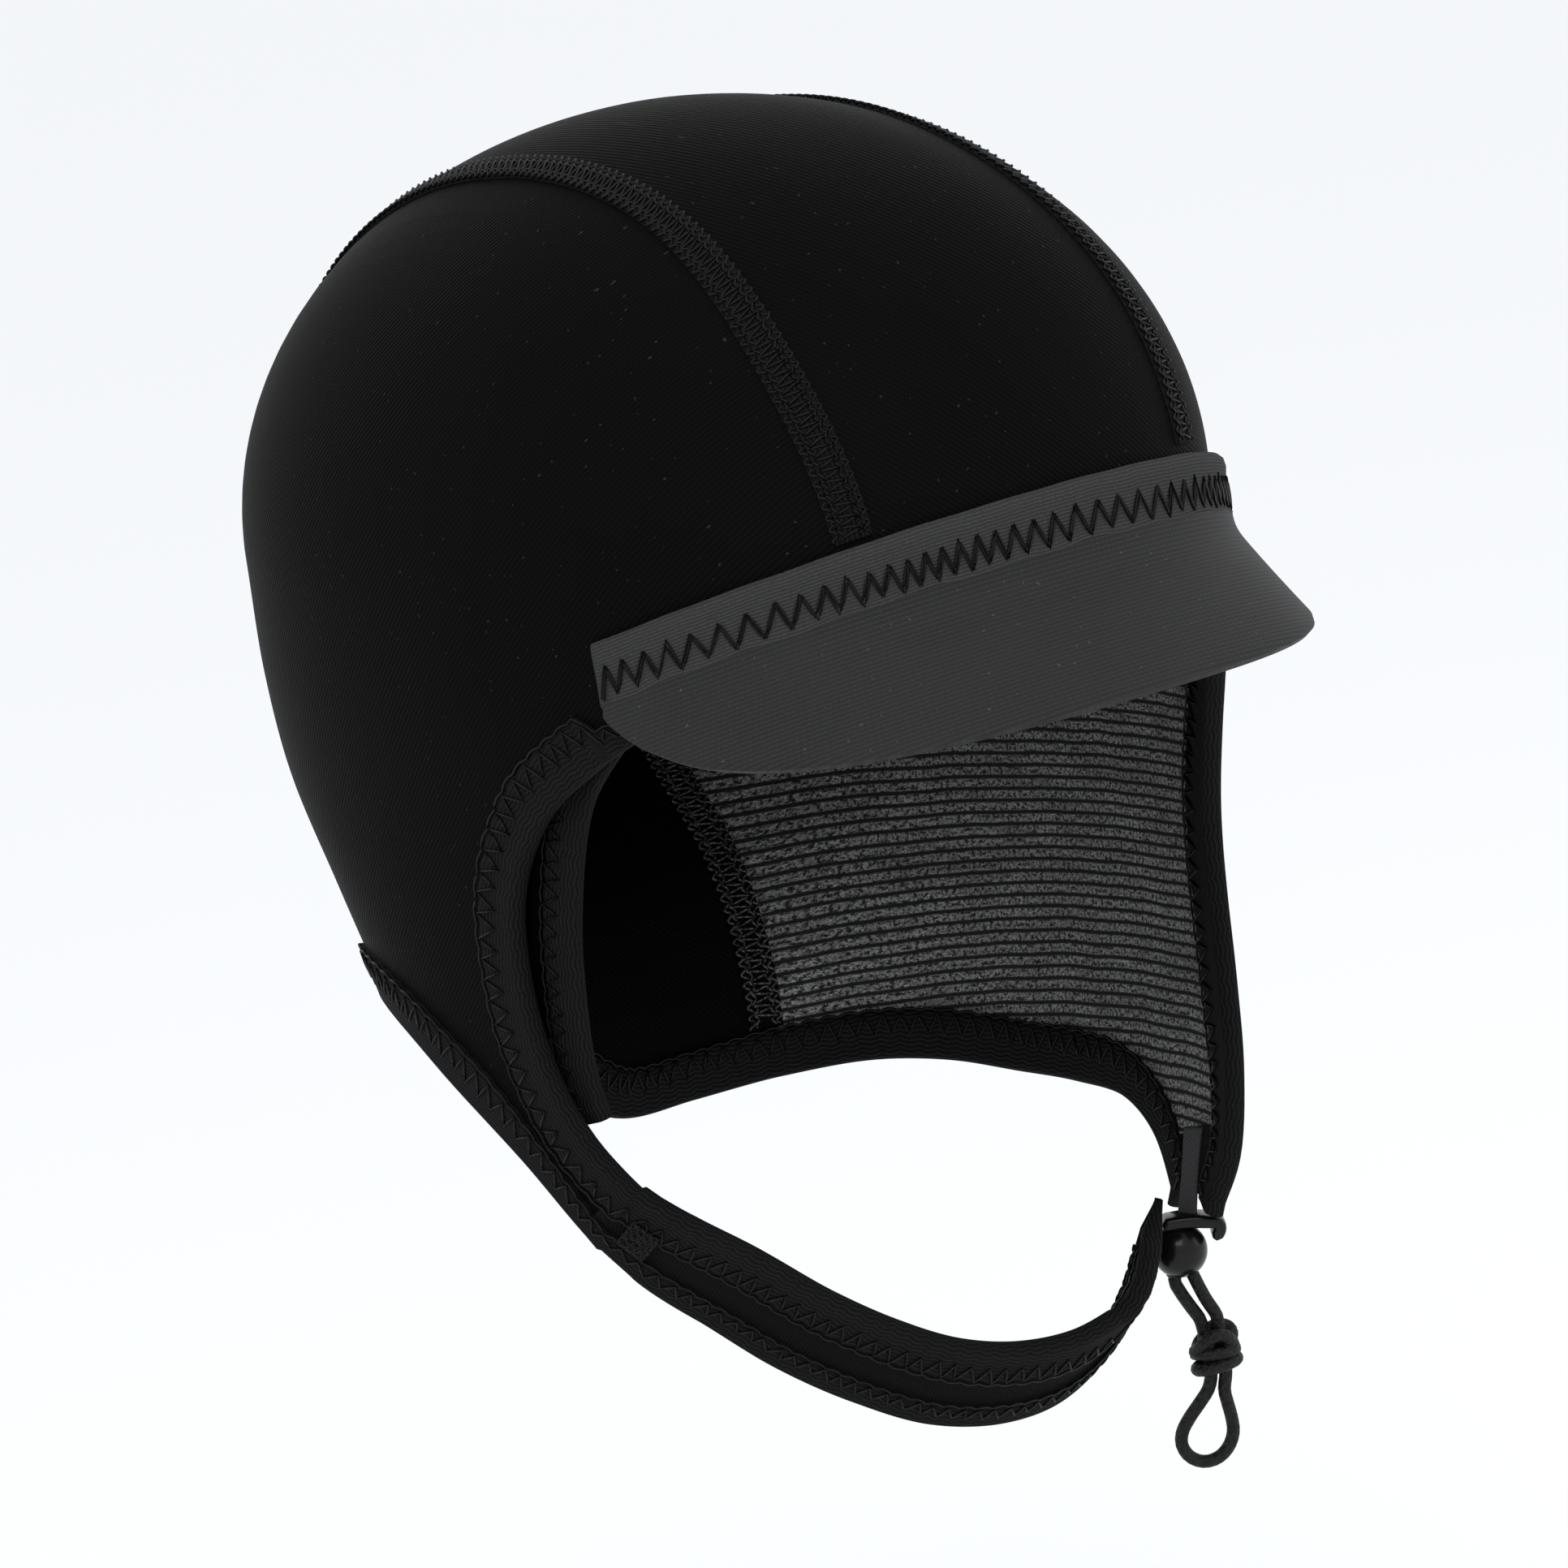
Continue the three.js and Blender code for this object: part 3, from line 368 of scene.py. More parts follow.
class Rim:
    """Frames along an edge: at(i, s, h) is s inward from point i and h out of the face."""

    def __init__(self, spots, inward, out, on_form, reach, thick, lift=0.0):
        self.spots, self.inward, self.out, self.on_form = spots, inward, out, on_form
        self.reach = np.broadcast_to(np.asarray(reach, float), (len(spots),)).copy()
        self.thick = np.full(len(spots), float(thick))
        self.lift = np.full(len(spots), float(lift))

    def at(self, s, h):
        """s and h have a row for each point of the rim."""
        flat = self.spots[:, None] + self.inward[:, None] * s[..., None]
        bent = onto_form(flat)
        on_form = np.broadcast_to(self.on_form[:, None, None], flat.shape)
        normal = np.where(on_form, form_normal(bent), np.broadcast_to(self.out[:, None], flat.shape))
        return np.where(on_form, bent, flat) + normal * (h + self.lift[:, None])[..., None]

    def join(self, *others):
        rims = [self, *others]
        out = Rim(*[np.concatenate([getattr(r, k) for r in rims]) for k in ("spots", "inward", "out", "on_form")],
                  reach=np.concatenate([r.reach for r in rims]), thick=0)
        out.thick = np.concatenate([r.thick for r in rims])
        out.lift = np.concatenate([r.lift for r in rims])
        return out

    def part(self, keep):
        out = Rim(self.spots[keep], self.inward[keep], self.out[keep], self.on_form[keep], self.reach[keep], 0)
        out.thick, out.lift = self.thick[keep], self.lift[keep]
        return out


def form_rim(rim, inside, reach=BINDING_WIDTH, thick=WALL, lift=0.0):
    along = unit(np.gradient(rim, axis=0))
    inward = unit(np.cross(form_normal(rim), along))
    wrong = (inward * (inside - rim)).sum(-1) < 0
    if wrong.mean() > 0.5:
        inward = -inward
    return Rim(rim, inward, form_normal(rim), np.ones(len(rim), bool), reach, thick, lift)


def binding(name, rim, mat, pitch=3.9, scallop=0.5, out=0.95):
    """A bound edge: a folded tape with a scalloped inner edge where the stitches pull it in."""
    arc = arc_of(rim.spots)
    wave = np.abs(np.sin(math.pi * arc / pitch))
    reach = rim.reach - 0.4 + scallop * (wave - 0.6)
    half = rim.thick / 2
    slim = np.clip(rim.reach / 3.0, 0.25, 1)
    out = out * slim
    turn = np.linspace(math.pi / 2, -math.pi / 2, 9)
    section_s = [reach, reach - 0.25, reach - 0.9, 0.62 * reach, 0.35 * reach, 0.12 * reach]
    section_h = [0.0, 0.62 * out, out + 0.05 * wave, 0.97 * out, out, out]
    rows_s = [np.broadcast_to(v, arc.shape) for v in section_s]
    rows_h = [np.broadcast_to(v, arc.shape) for v in section_h]
    for angle in turn:
        rows_s.append(-1.25 * math.cos(angle) * slim)
        rows_h.append(-half + (half + out) * math.sin(angle))
    for s, h in list(zip(section_s, section_h))[::-1]:
        rows_s.append(np.broadcast_to(s, arc.shape))
        rows_h.append(-rim.thick - np.broadcast_to(h, arc.shape))
    s, h = np.stack(rows_s, 1), np.stack(rows_h, 1)
    rings = rim.at(s, h)
    girth = np.concatenate([np.zeros((len(arc), 1)), np.cumsum(np.linalg.norm(np.diff(rings, axis=1), axis=2), 1)], 1)
    uvs = np.stack([np.broadcast_to(arc[:, None], girth.shape), girth], -1)
    return loft(name, rings, uvs, [mat])


def on_rim(rim, arc, s, h):
    """Points at lengths along the rim, s inward and h above the binding or below its inner side."""
    line = arc_of(rim.spots)
    low = np.clip(np.searchsorted(line, arc) - 1, 0, len(line) - 2)
    t = (arc - line[low]) / (line[low + 1] - line[low])
    ends = []
    for k in (low, low + 1):
        local = rim.part(k)
        height = np.where(h > 0, h, h - local.thick)
        ends.append(local.at(np.asarray(s(local))[:, None], height[:, None])[:, 0])
    return ends[0] * (1 - t)[:, None] + ends[1] * t[:, None]


def zigzag(rim, low, high, pitch, h, seed, stop, per=3):
    """A zigzag thread between two shares of the binding's reach."""
    rng = np.random.default_rng(seed)
    length = arc_of(rim.spots)[-1] - stop
    count = int((length - 2) / (pitch / 2))
    arc = 1 + np.arange(count + 1) * pitch / 2 + rng.normal(0, 0.06 * pitch, count + 1)
    share = np.where(np.arange(count + 1) % 2, high, low) + rng.normal(0, 0.02, count + 1)
    steps = np.linspace(0, count, count * per + 1)
    arc = np.clip(np.interp(steps, np.arange(count + 1), arc), 0, length)
    share = np.interp(steps, np.arange(count + 1), share)
    lift = h + np.sign(h) * 0.12 * np.sin(math.pi * (steps % 1))
    return on_rim(rim, arc, lambda local: share * (local.reach - 0.4), lift)


def edge_loops(rim, pitch, h, seed, stop):
    """The looped thread that runs along the scalloped inner edge."""
    rng = np.random.default_rng(seed)
    length = arc_of(rim.spots)[-1] - stop
    arc = np.arange(1, length - 1, pitch / 7)
    wave = np.abs(np.sin(math.pi * arc / pitch))
    drift = np.interp(arc, np.arange(0, length + 9, 8), rng.normal(0, 0.08, len(np.arange(0, length + 9, 8))))
    return on_rim(rim, arc, lambda local: local.reach - 0.55 + 0.5 * wave + drift, h * (1.0 + 0.0 * wave))


# ---------------------------------------------------------------- materials
def material(name, color, roughness, specular=0.35, sheen=0.0, coat=0.0):
    mat = bpy.data.materials.new(name)
    mat.use_nodes = True
    shader = mat.node_tree.nodes["Principled BSDF"]
    shader.inputs["Base Color"].default_value = (*color, 1)
    shader.inputs["Roughness"].default_value = roughness
    shader.inputs["Specular IOR Level"].default_value = specular
    shader.inputs["Sheen Weight"].default_value = sheen
    shader.inputs["Sheen Roughness"].default_value = 0.45
    shader.inputs["Coat Weight"].default_value = coat
    mat.diffuse_color = (*color, 1)
    return mat, mat.node_tree, shader


def node(tree, kind, **values):
    made = tree.nodes.new(kind)
    for key, value in values.items():
        if key in made.inputs.keys():
            made.inputs[key].default_value = value
        else:
            setattr(made, key, value)
    return made


def maths(tree, operation, first, second=None):
    made = tree.nodes.new("ShaderNodeMath")
    made.operation = operation
    for k, value in enumerate((first, second)):
        if value is None:
            continue
        if isinstance(value, (int, float)):
            made.inputs[k].default_value = value
        else:
            tree.links.new(value, made.inputs[k])
    return made.outputs[0]


def noise(tree, vector, scale, detail=2.0, rough=0.55):
    made = node(tree, "ShaderNodeTexNoise", Scale=scale, Detail=detail, Roughness=rough)
    tree.links.new(vector, made.inputs["Vector"])
    return made.outputs["Fac"]


def places(tree):
    """The piece's flat place in metres: along and across."""
    uv = node(tree, "ShaderNodeUVMap", uv_map="place")
    parts = tree.nodes.new("ShaderNodeSeparateXYZ")
    tree.links.new(uv.outputs[0], parts.inputs[0])
    return uv.outputs[0], parts.outputs[0], parts.outputs[1]


def stretched(tree, along, across, a, b):
    made = tree.nodes.new("ShaderNodeCombineXYZ")
    tree.links.new(maths(tree, "MULTIPLY", along, a), made.inputs[0])
    tree.links.new(maths(tree, "MULTIPLY", across, b), made.inputs[1])
    return made.outputs[0]


def ramp(tree, value, low, high):
    made = node(tree, "ShaderNodeMapRange")
    made.inputs["From Min"].default_value = low
    made.inputs["From Max"].default_value = high
    tree.links.new(value, made.inputs["Value"])
    return made.outputs[0]


def mixed(tree, factor, dark, light):
    made = tree.nodes.new("ShaderNodeMix")
    made.data_type = "RGBA"
    tree.links.new(factor, made.inputs["Factor"])
    for socket, color in ((made.inputs["A"], dark), (made.inputs["B"], light)):
        if isinstance(color, tuple):
            socket.default_value = (*color, 1)
        else:
            tree.links.new(color, socket)
    for k, color in ((6, dark), (7, light)):
        if isinstance(color, tuple):
            made.inputs[k].default_value = (*color, 1)
        else:
            tree.links.new(color, made.inputs[k])
    return made.outputs[2]


def bump(tree, shader, height, distance, strength=1.0):
    made = node(tree, "ShaderNodeBump", Strength=strength, Distance=distance)
    tree.links.new(height, made.inputs["Height"])
    tree.links.new(made.outputs[0], shader.inputs["Normal"])


def half_wave(tree, value, pitch):
    sine = maths(tree, "SINE", maths(tree, "MULTIPLY", value, 2 * math.pi / pitch))
    return maths(tree, "ADD", maths(tree, "MULTIPLY", sine, 0.5), 0.5)


def cloth_face(name, dark, light, pitch, speck=0.62):
    """Smooth nylon face on foam: fine slanted ribs and a few specks of lint."""
    mat, tree, shader = material(name, dark, 0.5, 0.012)
    vector, along, across = places(tree)
    slant = maths(tree, "ADD", along, across)
    ribs = half_wave(tree, slant, pitch)
    grain = noise(tree, vector, 2600, 3)
    cloud = noise(tree, vector, 30, 2)
    lint = ramp(tree, noise(tree, vector, 900, 1), 0.735, 0.76)
    tone = mixed(tree, maths(tree, "MULTIPLY", ribs, grain), dark, light)
    tone = mixed(tree, maths(tree, "MULTIPLY", cloud, 0.35), tone, light)
    tone = mixed(tree, maths(tree, "MULTIPLY", lint, speck), tone, (0.03, 0.03, 0.032))
    tree.links.new(tone, shader.inputs["Base Color"])
    bump(tree, shader, maths(tree, "ADD", ribs, grain), 0.00012, 0.6)
    return mat


def ribbed(name, dark, light, pitch, across_ribs=False, roughness=0.85):
    """Knit tape with ribs along it, or across it."""
    mat, tree, shader = material(name, dark, roughness, 0.08)
    vector, along, across = places(tree)
    line = maths(tree, "ADD", along, maths(tree, "MULTIPLY", across, 0.25)) if across_ribs else across
    drift = noise(tree, vector, 180, 2)
    ribs = half_wave(tree, maths(tree, "ADD", line, maths(tree, "MULTIPLY", drift, 0.0006)), pitch)
    fibre = noise(tree, stretched(tree, along, across, 1.0, 4.0), 1600, 3)
    tone = mixed(tree, maths(tree, "MULTIPLY", ribs, ramp(tree, fibre, 0.3, 0.7)), dark, light)
    tree.links.new(tone, shader.inputs["Base Color"])
    bump(tree, shader, maths(tree, "ADD", ribs, maths(tree, "MULTIPLY", fibre, 0.5)), 0.0002, 0.8)
    return mat


def foam_face(name, dark, light):
    """Embossed grey foam: fine ribs along the piece and light specks."""
    mat, tree, shader = material(name, dark, 0.55, 0.08)
    vector, along, across = places(tree)
    ribs = half_wave(tree, across, 0.00085)
    cross = half_wave(tree, along, 0.0011)
    grain = noise(tree, vector, 1500, 3)
    cloud = noise(tree, vector, 45, 2)
    lint = ramp(tree, noise(tree, vector, 900, 1), 0.735, 0.76)
    weave = maths(tree, "MULTIPLY", ribs, maths(tree, "ADD", maths(tree, "MULTIPLY", cross, 0.4), 0.6))
    tone = mixed(tree, weave, dark, light)
    tone = mixed(tree, maths(tree, "MULTIPLY", ramp(tree, cloud, 0.35, 0.7), 0.25), tone, light)
    tone = mixed(tree, maths(tree, "MULTIPLY", lint, 0.8), tone, (0.07, 0.07, 0.07))
    tree.links.new(tone, shader.inputs["Base Color"])
    bump(tree, shader, maths(tree, "ADD", weave, maths(tree, "MULTIPLY", grain, 0.4)), 0.00014, 0.7)
    return mat


def plush_face(name):
    """Inner knit: rows of light grey yarn dashes on a dark ground."""
    mat, tree, shader = material(name, (0.05, 0.05, 0.05), 0.95, 0.05)
    vector, along, across = places(tree)
    drift = noise(tree, stretched(tree, along, across, 1.0, 0.3), 60, 2)
    level = maths(tree, "ADD", across, maths(tree, "MULTIPLY", drift, 0.0012))
    rows = half_wave(tree, level, 0.0023)
    yarn = ramp(tree, rows, 0.1, 0.42)
    dashes = ramp(tree, noise(tree, stretched(tree, along, level, 1.0, 0.85), 1500, 3, 0.75), 0.42, 0.54)
    clouds = ramp(tree, noise(tree, vector, 110, 3), 0.25, 0.75)
    fibre = noise(tree, vector, 3600, 2)
    light = mixed(tree, clouds, (0.24, 0.24, 0.235), (0.44, 0.442, 0.435))
    mask = maths(tree, "MULTIPLY", maths(tree, "MULTIPLY", yarn, dashes), ramp(tree, fibre, 0.25, 0.6))
    tree.links.new(mixed(tree, mask, (0.014, 0.014, 0.014), light), shader.inputs["Base Color"])
    bump(tree, shader, mask, 0.0003, 0.8)
    return mat


def thread_face(name, color, light):
    mat, tree, shader = material(name, color, 0.5, 0.15)
    spot = tree.nodes.new("ShaderNodeTexCoord").outputs["Object"]
    grain = noise(tree, spot, 2200, 2)
    tree.links.new(mixed(tree, ramp(tree, grain, 0.4, 0.7), color, light), shader.inputs["Base Color"])
    bump(tree, shader, grain, 0.0001, 0.6)
    return mat


def gloss_face(name):
    mat, tree, shader = material(name, (0.004, 0.004, 0.004), 0.16, 0.22)
    spot = tree.nodes.new("ShaderNodeTexCoord").outputs["Object"]
    smear = noise(tree, spot, 160, 3)
    rough = maths(tree, "ADD", maths(tree, "MULTIPLY", smear, 0.16), 0.16)
    tree.links.new(rough, shader.inputs["Roughness"])
    bump(tree, shader, noise(tree, spot, 420, 2), 0.00003, 0.4)
    return mat


def braid_face(name):
    mat, tree, shader = material(name, (0.012, 0.012, 0.013), 0.55, 0.2)
    spot = tree.nodes.new("ShaderNodeTexCoord").outputs["Object"]
    cells = node(tree, "ShaderNodeTexVoronoi", Scale=1250.0)
    tree.links.new(spot, cells.inputs["Vector"])
    bumps_and_gap_shade = ramp(tree, cells.outputs["Distance"], 0.75, 0.0)
    # The bump height also sets the colour: painted shade darkens the gaps between the braid's bumps, and their tops
    # keep the base colour.
    tree.links.new(mixed(tree, bumps_and_gap_shade, (0.002, 0.002, 0.002), (0.012, 0.012, 0.013)), shader.inputs["Base Color"])
    bump(tree, shader, bumps_and_gap_shade, 0.00025, 0.9)
    return mat


NEOPRENE = cloth_face("neoprene", (0.0022, 0.0021, 0.0021), (0.0052, 0.005, 0.0051), 0.0012)
LINING = cloth_face("lining", (0.0015, 0.0015, 0.0015), (0.0028, 0.0028, 0.0028), 0.0012, 0.1)
PLUSH = plush_face("plush_knit")
JERSEY = ribbed("jersey", (0.003, 0.003, 0.0032), (0.016, 0.016, 0.0172), 0.0009)
STRAP_CLOTH = ribbed("strap_cloth", (0.002, 0.002, 0.0022), (0.007, 0.007, 0.0078), 0.0007, True)
TAPE = ribbed("grey_tape", (0.03, 0.03, 0.0305), (0.066, 0.066, 0.067), 0.00062)
FOAM = foam_face("grey_neoprene", (0.019, 0.019, 0.0193), (0.03, 0.03, 0.0304))
THREAD = thread_face("thread", (0.001, 0.001, 0.0011), (0.0035, 0.0035, 0.004))
THREAD_INSIDE = thread_face("thread_inside", (0.0012, 0.0012, 0.0012), (0.12, 0.12, 0.12))
GLOSS = gloss_face("gloss")
BRAID = braid_face("braid")
TAB_FACE = cloth_face("tab", (0.03, 0.03, 0.031), (0.06, 0.06, 0.062), 0.0009)


def finish_piece(obj, slot, *nodes):
    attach(obj, "root")
    if nodes:
        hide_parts(*nodes)
    return obj


# ---------------------------------------------------------------- camera
RIGHT = Vector((0.791, -0.5892, -0.1648))
UP = Vector((0.2168, 0.0181, 0.976))
BACK = Vector((-0.5721, -0.8078, 0.1421))
DISTANCE = 1500.0
SCALE = 6.723
IMAGE = 1932
PRINCIPAL = (882.445, 618.81)
FORM_SHIFT = Vector((0, 1.475, -ORIGIN_DROP))
eye = BACK * DISTANCE + FORM_SHIFT
aim = FORM_SHIFT + RIGHT * ((IMAGE / 2 - PRINCIPAL[0]) / SCALE) - UP * ((IMAGE / 2 - PRINCIPAL[1]) / SCALE)
looking = (aim - eye).normalized()
level = (RIGHT - looking * RIGHT.dot(looking)).normalized()
upright = (-looking).cross(level)
camera = bpy.data.objects.new("camera", bpy.data.cameras.new("camera"))
camera.data.sensor_width = 36
camera.data.lens = 36 * SCALE * DISTANCE / IMAGE
camera.data.clip_end = 100
camera.matrix_world = Matrix.Translation(eye * MM) @ Matrix((level, upright, -looking)).transposed().to_4x4()
bpy.context.scene.collection.objects.link(camera)
bpy.context.scene.camera = camera


# ---------------------------------------------------------------- cord and lock
def lock_point(out, up, aside=0.0):
    x = out * math.cos(LOCK_TURN) - aside * math.sin(LOCK_TURN)
    y = out * math.sin(LOCK_TURN) + aside * math.cos(LOCK_TURN)
    return LOCK + (x, y, up)


def cord_line():
    data = bpy.data.curves.new("elastic_cord", "CURVE")
    data.dimensions = "3D"
    data.bevel_depth = CORD_DIAMETER / 2 * MM
    data.bevel_resolution = 5
    data.use_fill_caps = True
    smooth = Spline([lock_point(*p) for p in CORD_ROUTE]).evenly(76) * MM + (0, 0, -ORIGIN_DROP * MM)
    spline = data.splines.new("POLY")
    spline.points.add(len(smooth) - 1)
    for point, place in zip(spline.points, smooth):
        point.co = (*place, 1)
    spline.use_smooth = True
    data.materials.append(BRAID)
    obj = bpy.data.objects.new("elastic_cord", data)
    bpy.context.scene.collection.objects.link(obj)
    length = float(np.linalg.norm(np.diff(smooth, axis=0), axis=1).sum())
    return obj, smooth[0], length


def knot():
    """Two wraps round the strands, and a bight that comes over the top and tucks in."""
    cx, cz = KNOT_CENTRE
    paths = []
    turn = np.linspace(0, 2 * math.pi, 33)
    for level, wide, deep, slant in ((-3.1, 3.85, 2.9, 0.5), (-0.55, 3.7, 2.9, -0.3)):
        paths.append([lock_point(cx + wide * math.cos(a), cz + level + slant * math.cos(a), deep * math.sin(a)) for a in turn])
    for lean, wide, high in ((0.55, 2.7, 3.0), (-0.5, 2.2, 2.5)):
        bend = np.linspace(-0.35 * math.pi, 1.35 * math.pi, 25)
        paths.append([lock_point(cx + 1.0 + wide * math.cos(a), cz + 1.6 + high * 0.55 * math.sin(a) + lean, 1.9 * math.sin(a + lean)) for a in bend])
    across = Spline([lock_point(cx - 3.6, cz - 1.6, 1.0), lock_point(cx - 2.4, cz + 0.8, 3.2), lock_point(cx + 0.6, cz + 2.2, 3.4),
                     lock_point(cx + 3.0, cz + 1.6, 1.6), lock_point(cx + 3.7, cz - 0.6, -0.6)]).evenly(20)
    near = Spline([lock_point(cx - 3.4, cz + 0.2, -1.6), lock_point(cx - 1.6, cz + 2.2, -3.3), lock_point(cx + 1.2, cz + 3.0, -3.2),
                   lock_point(cx + 3.2, cz + 1.2, -1.9), lock_point(cx + 3.5, cz - 1.4, 0.4)]).evenly(20)
    return tubes("cord_knot_wraps", [np.array(p) for p in paths] + [across, near], CORD_DIAMETER / 2, BRAID, 12)


cord, cord_start, cord_length = cord_line()
knot_piece = knot()
finish_piece(cord, "braid", "cord_leg_left", "cord_leg_right", "cord_loop")
finish_piece(knot_piece, "braid", "cord_knot")


def lock():
    turns, levels = 48, 25
    verts, faces = [], []
    for k in range(levels):
        polar = math.pi * (k + 0.5) / levels
        for i in range(turns):
            a = 2 * math.pi * i / turns
            r = BALL_RADIUS * math.sin(polar)
            verts.append(lock_point(r * math.cos(a), BALL_RADIUS * math.cos(polar), r * math.sin(a)))
    faces = grid_faces(levels, turns, True)
    faces.append(tuple(range(turns))[::-1])
    faces.append(tuple(range((levels - 1) * turns, levels * turns)))
    ball = mesh_object("lock_ball", verts, outward(verts, faces), None, [GLOSS])
    half, rise, thin = PLATE_LENGTH / 2, BALL_RADIUS + PLATE_THICKNESS, PLATE_THICKNESS * 1.7
    middle = Spline([(-half, rise - thin * 0.4, 0), (-0.2 * half, rise - 0.4 * thin, 0), (0.6 * half, rise - 0.62 * thin, 0),
                     (1.08 * half, rise - 0.28 * half - 0.9, 0), (1.1 * half, rise - 0.7 * half, 0), (0.86 * half, rise - 1.02 * half, 0)]).evenly(30)
    flat = middle[:, :2]
    along = unit(np.gradient(flat, axis=0))
    over = np.stack([-along[:, 1], along[:, 0]], 1)
    rings = []
    for (x, z), (ox, oz), k in zip(flat, over, range(len(flat))):
        taper = min(1.0, 0.45 + 0.3 * min(k, len(flat) - 1 - k))
        wide, thick = PLATE_WIDTH / 2 * (0.92 + 0.08 * taper), thin / 2 * taper
        ring = []
        for a in np.linspace(0, 2 * math.pi, 20, endpoint=False):
            c, s = math.cos(a), math.sin(a)
            w = wide * math.copysign(abs(c) ** 0.35, c)
            h = thick * math.copysign(abs(s) ** 0.5, s)
            ring.append(lock_point(PLATE_SHIFT + x + ox * h, z + oz * h, w))
        rings.append(ring)
    rings = np.array(rings)
    plate = loft("lock_plate", rings, np.zeros(rings.shape[:2] + (2,)), [GLOSS])
    collar = tubes("lock_rim", [np.array([lock_point(-0.2 + 2.6 * math.cos(a), -BALL_RADIUS + 0.85, 1.8 * math.sin(a))
                                          for a in np.linspace(0, 2 * math.pi, 33)])], 0.45, GLOSS, 8)
    return ball, plate, collar


ball, plate, collar = lock()
finish_piece(ball, "gloss", "cord_lock")
finish_piece(plate, "gloss")
finish_piece(collar, "gloss")

# ---------------------------------------------------------------- panels
STATIONS, ROWS = 170, 64
centre = centre_point(np.linspace(-1, 1, 49)[None, :] * np.ones((STATIONS + 1, 1)),
                      np.linspace(0, 1, STATIONS + 1)[:, None] * np.ones((1, 49)))
right = side_panel(-1, FACE_RIGHT, EAR_RIGHT, STATIONS, ROWS)
left = side_panel(1, FACE_LEFT, EAR_LEFT, STATIONS, ROWS)
finish_piece(sheet("centre_skin", centre, 0, WALL, centre[..., [0, 2]], [NEOPRENE, LINING]), "neoprene", "centre_panel")
finish_piece(sheet("right_skin", right, 0, WALL, right[..., [1, 2]], [NEOPRENE, LINING]), "neoprene", "side_panel_right")
finish_piece(sheet("left_skin", left, 0, WALL, left[..., [1, 2]], [NEOPRENE, PLUSH], 7), "neoprene", "side_panel_left")


# ---------------------------------------------------------------- seams
def seam(side, outside, first, last, seed):
    along = np.linspace(first, last, 420)
    middle = centre_point(np.full(len(along), float(side)), along, 0.2)
    inner = centre_point(np.full(len(along), side * 0.9), along)
    rim = Rim(middle, unit(inner - middle), form_normal(middle), np.ones(len(along), bool), 7.0, 0)
    name = "seam_" + ("" if outside else "inside_") + ("left" if side > 0 else "right")
    sign, base = (1, 0.0) if outside else (-1, -WALL)
    thread = THREAD if outside else THREAD_INSIDE
    profile = [(-3.6, 0.02), (-3.1, 0.5), (-2.2, 0.62), (-0.4, 0.5), (0, 0.42), (0.4, 0.5), (2.2, 0.62), (3.1, 0.5),
               (3.6, 0.02), (0, -0.1)]
    s = np.array([p[0] for p in profile])[None] + 0 * along[:, None]
    h = base + sign * np.array([p[1] for p in profile])[None] + 0 * along[:, None]
    rings = rim.at(s, h)
    uvs = np.stack([np.broadcast_to(arc_of(middle)[:, None], s.shape), s], -1)
    strip = loft(name + "_tape", rings, uvs, [JERSEY if outside else LINING])
    length = arc_of(middle)[-1]
    rng = np.random.default_rng(seed)
    paths = []

    def line(arc, place, height):
        x = np.interp(arc, arc_of(middle), along)
        spots = centre_point(np.full(len(x), float(side)), x, 0.2)
        ways = centre_point(np.full(len(x), side * 0.9), x)
        local = Rim(spots, unit(ways - spots), form_normal(spots), np.ones(len(x), bool), 7.0, 0)
        return local.at(np.asarray(place)[:, None], (base + sign * np.asarray(height))[:, None])[:, 0]

    pitch = 2.1
    for edge in (-1, 1):
        arc = np.arange(0.6, length - 0.6, pitch / 8)
        turn = 2 * math.pi * arc / pitch + edge
        paths.append(line(arc, edge * (2.9 + 0.62 * np.sin(turn)), 0.72 + 0.22 * np.cos(turn)))
        arc = np.arange(0.6, length - 0.6, pitch / 6)
        turn = 2 * math.pi * arc / pitch + edge + 1.4
        paths.append(line(arc, edge * (1.75 + 0.4 * np.sin(turn)), 0.7 + 0.1 * np.cos(turn)))
    count = int(length / (pitch / 2)) - 2
    arc = 0.8 + np.arange(count) * pitch / 2 + rng.normal(0, 0.08, count)
    place = np.where(np.arange(count) % 2, 2.6, -2.6)
    steps = np.linspace(0, count - 1, (count - 1) * 3 + 1)
    paths.append(line(np.clip(np.interp(steps, np.arange(count), arc), 0, length), np.interp(steps, np.arange(count), place),
                      0.62 + 0.1 * np.sin(math.pi * (steps % 1))))
    stitches = tubes(name + "_stitches", paths, 0.26, thread, 5)
    finish_piece(strip, "thread", name)
    finish_piece(stitches, "thread")


seam(-1, True, 0.035, 0.972, 11)
seam(1, True, 0.035, 0.978, 12)
seam(-1, False, 0.012, 0.972, 13)
seam(1, False, 0.012, 0.978, 14)


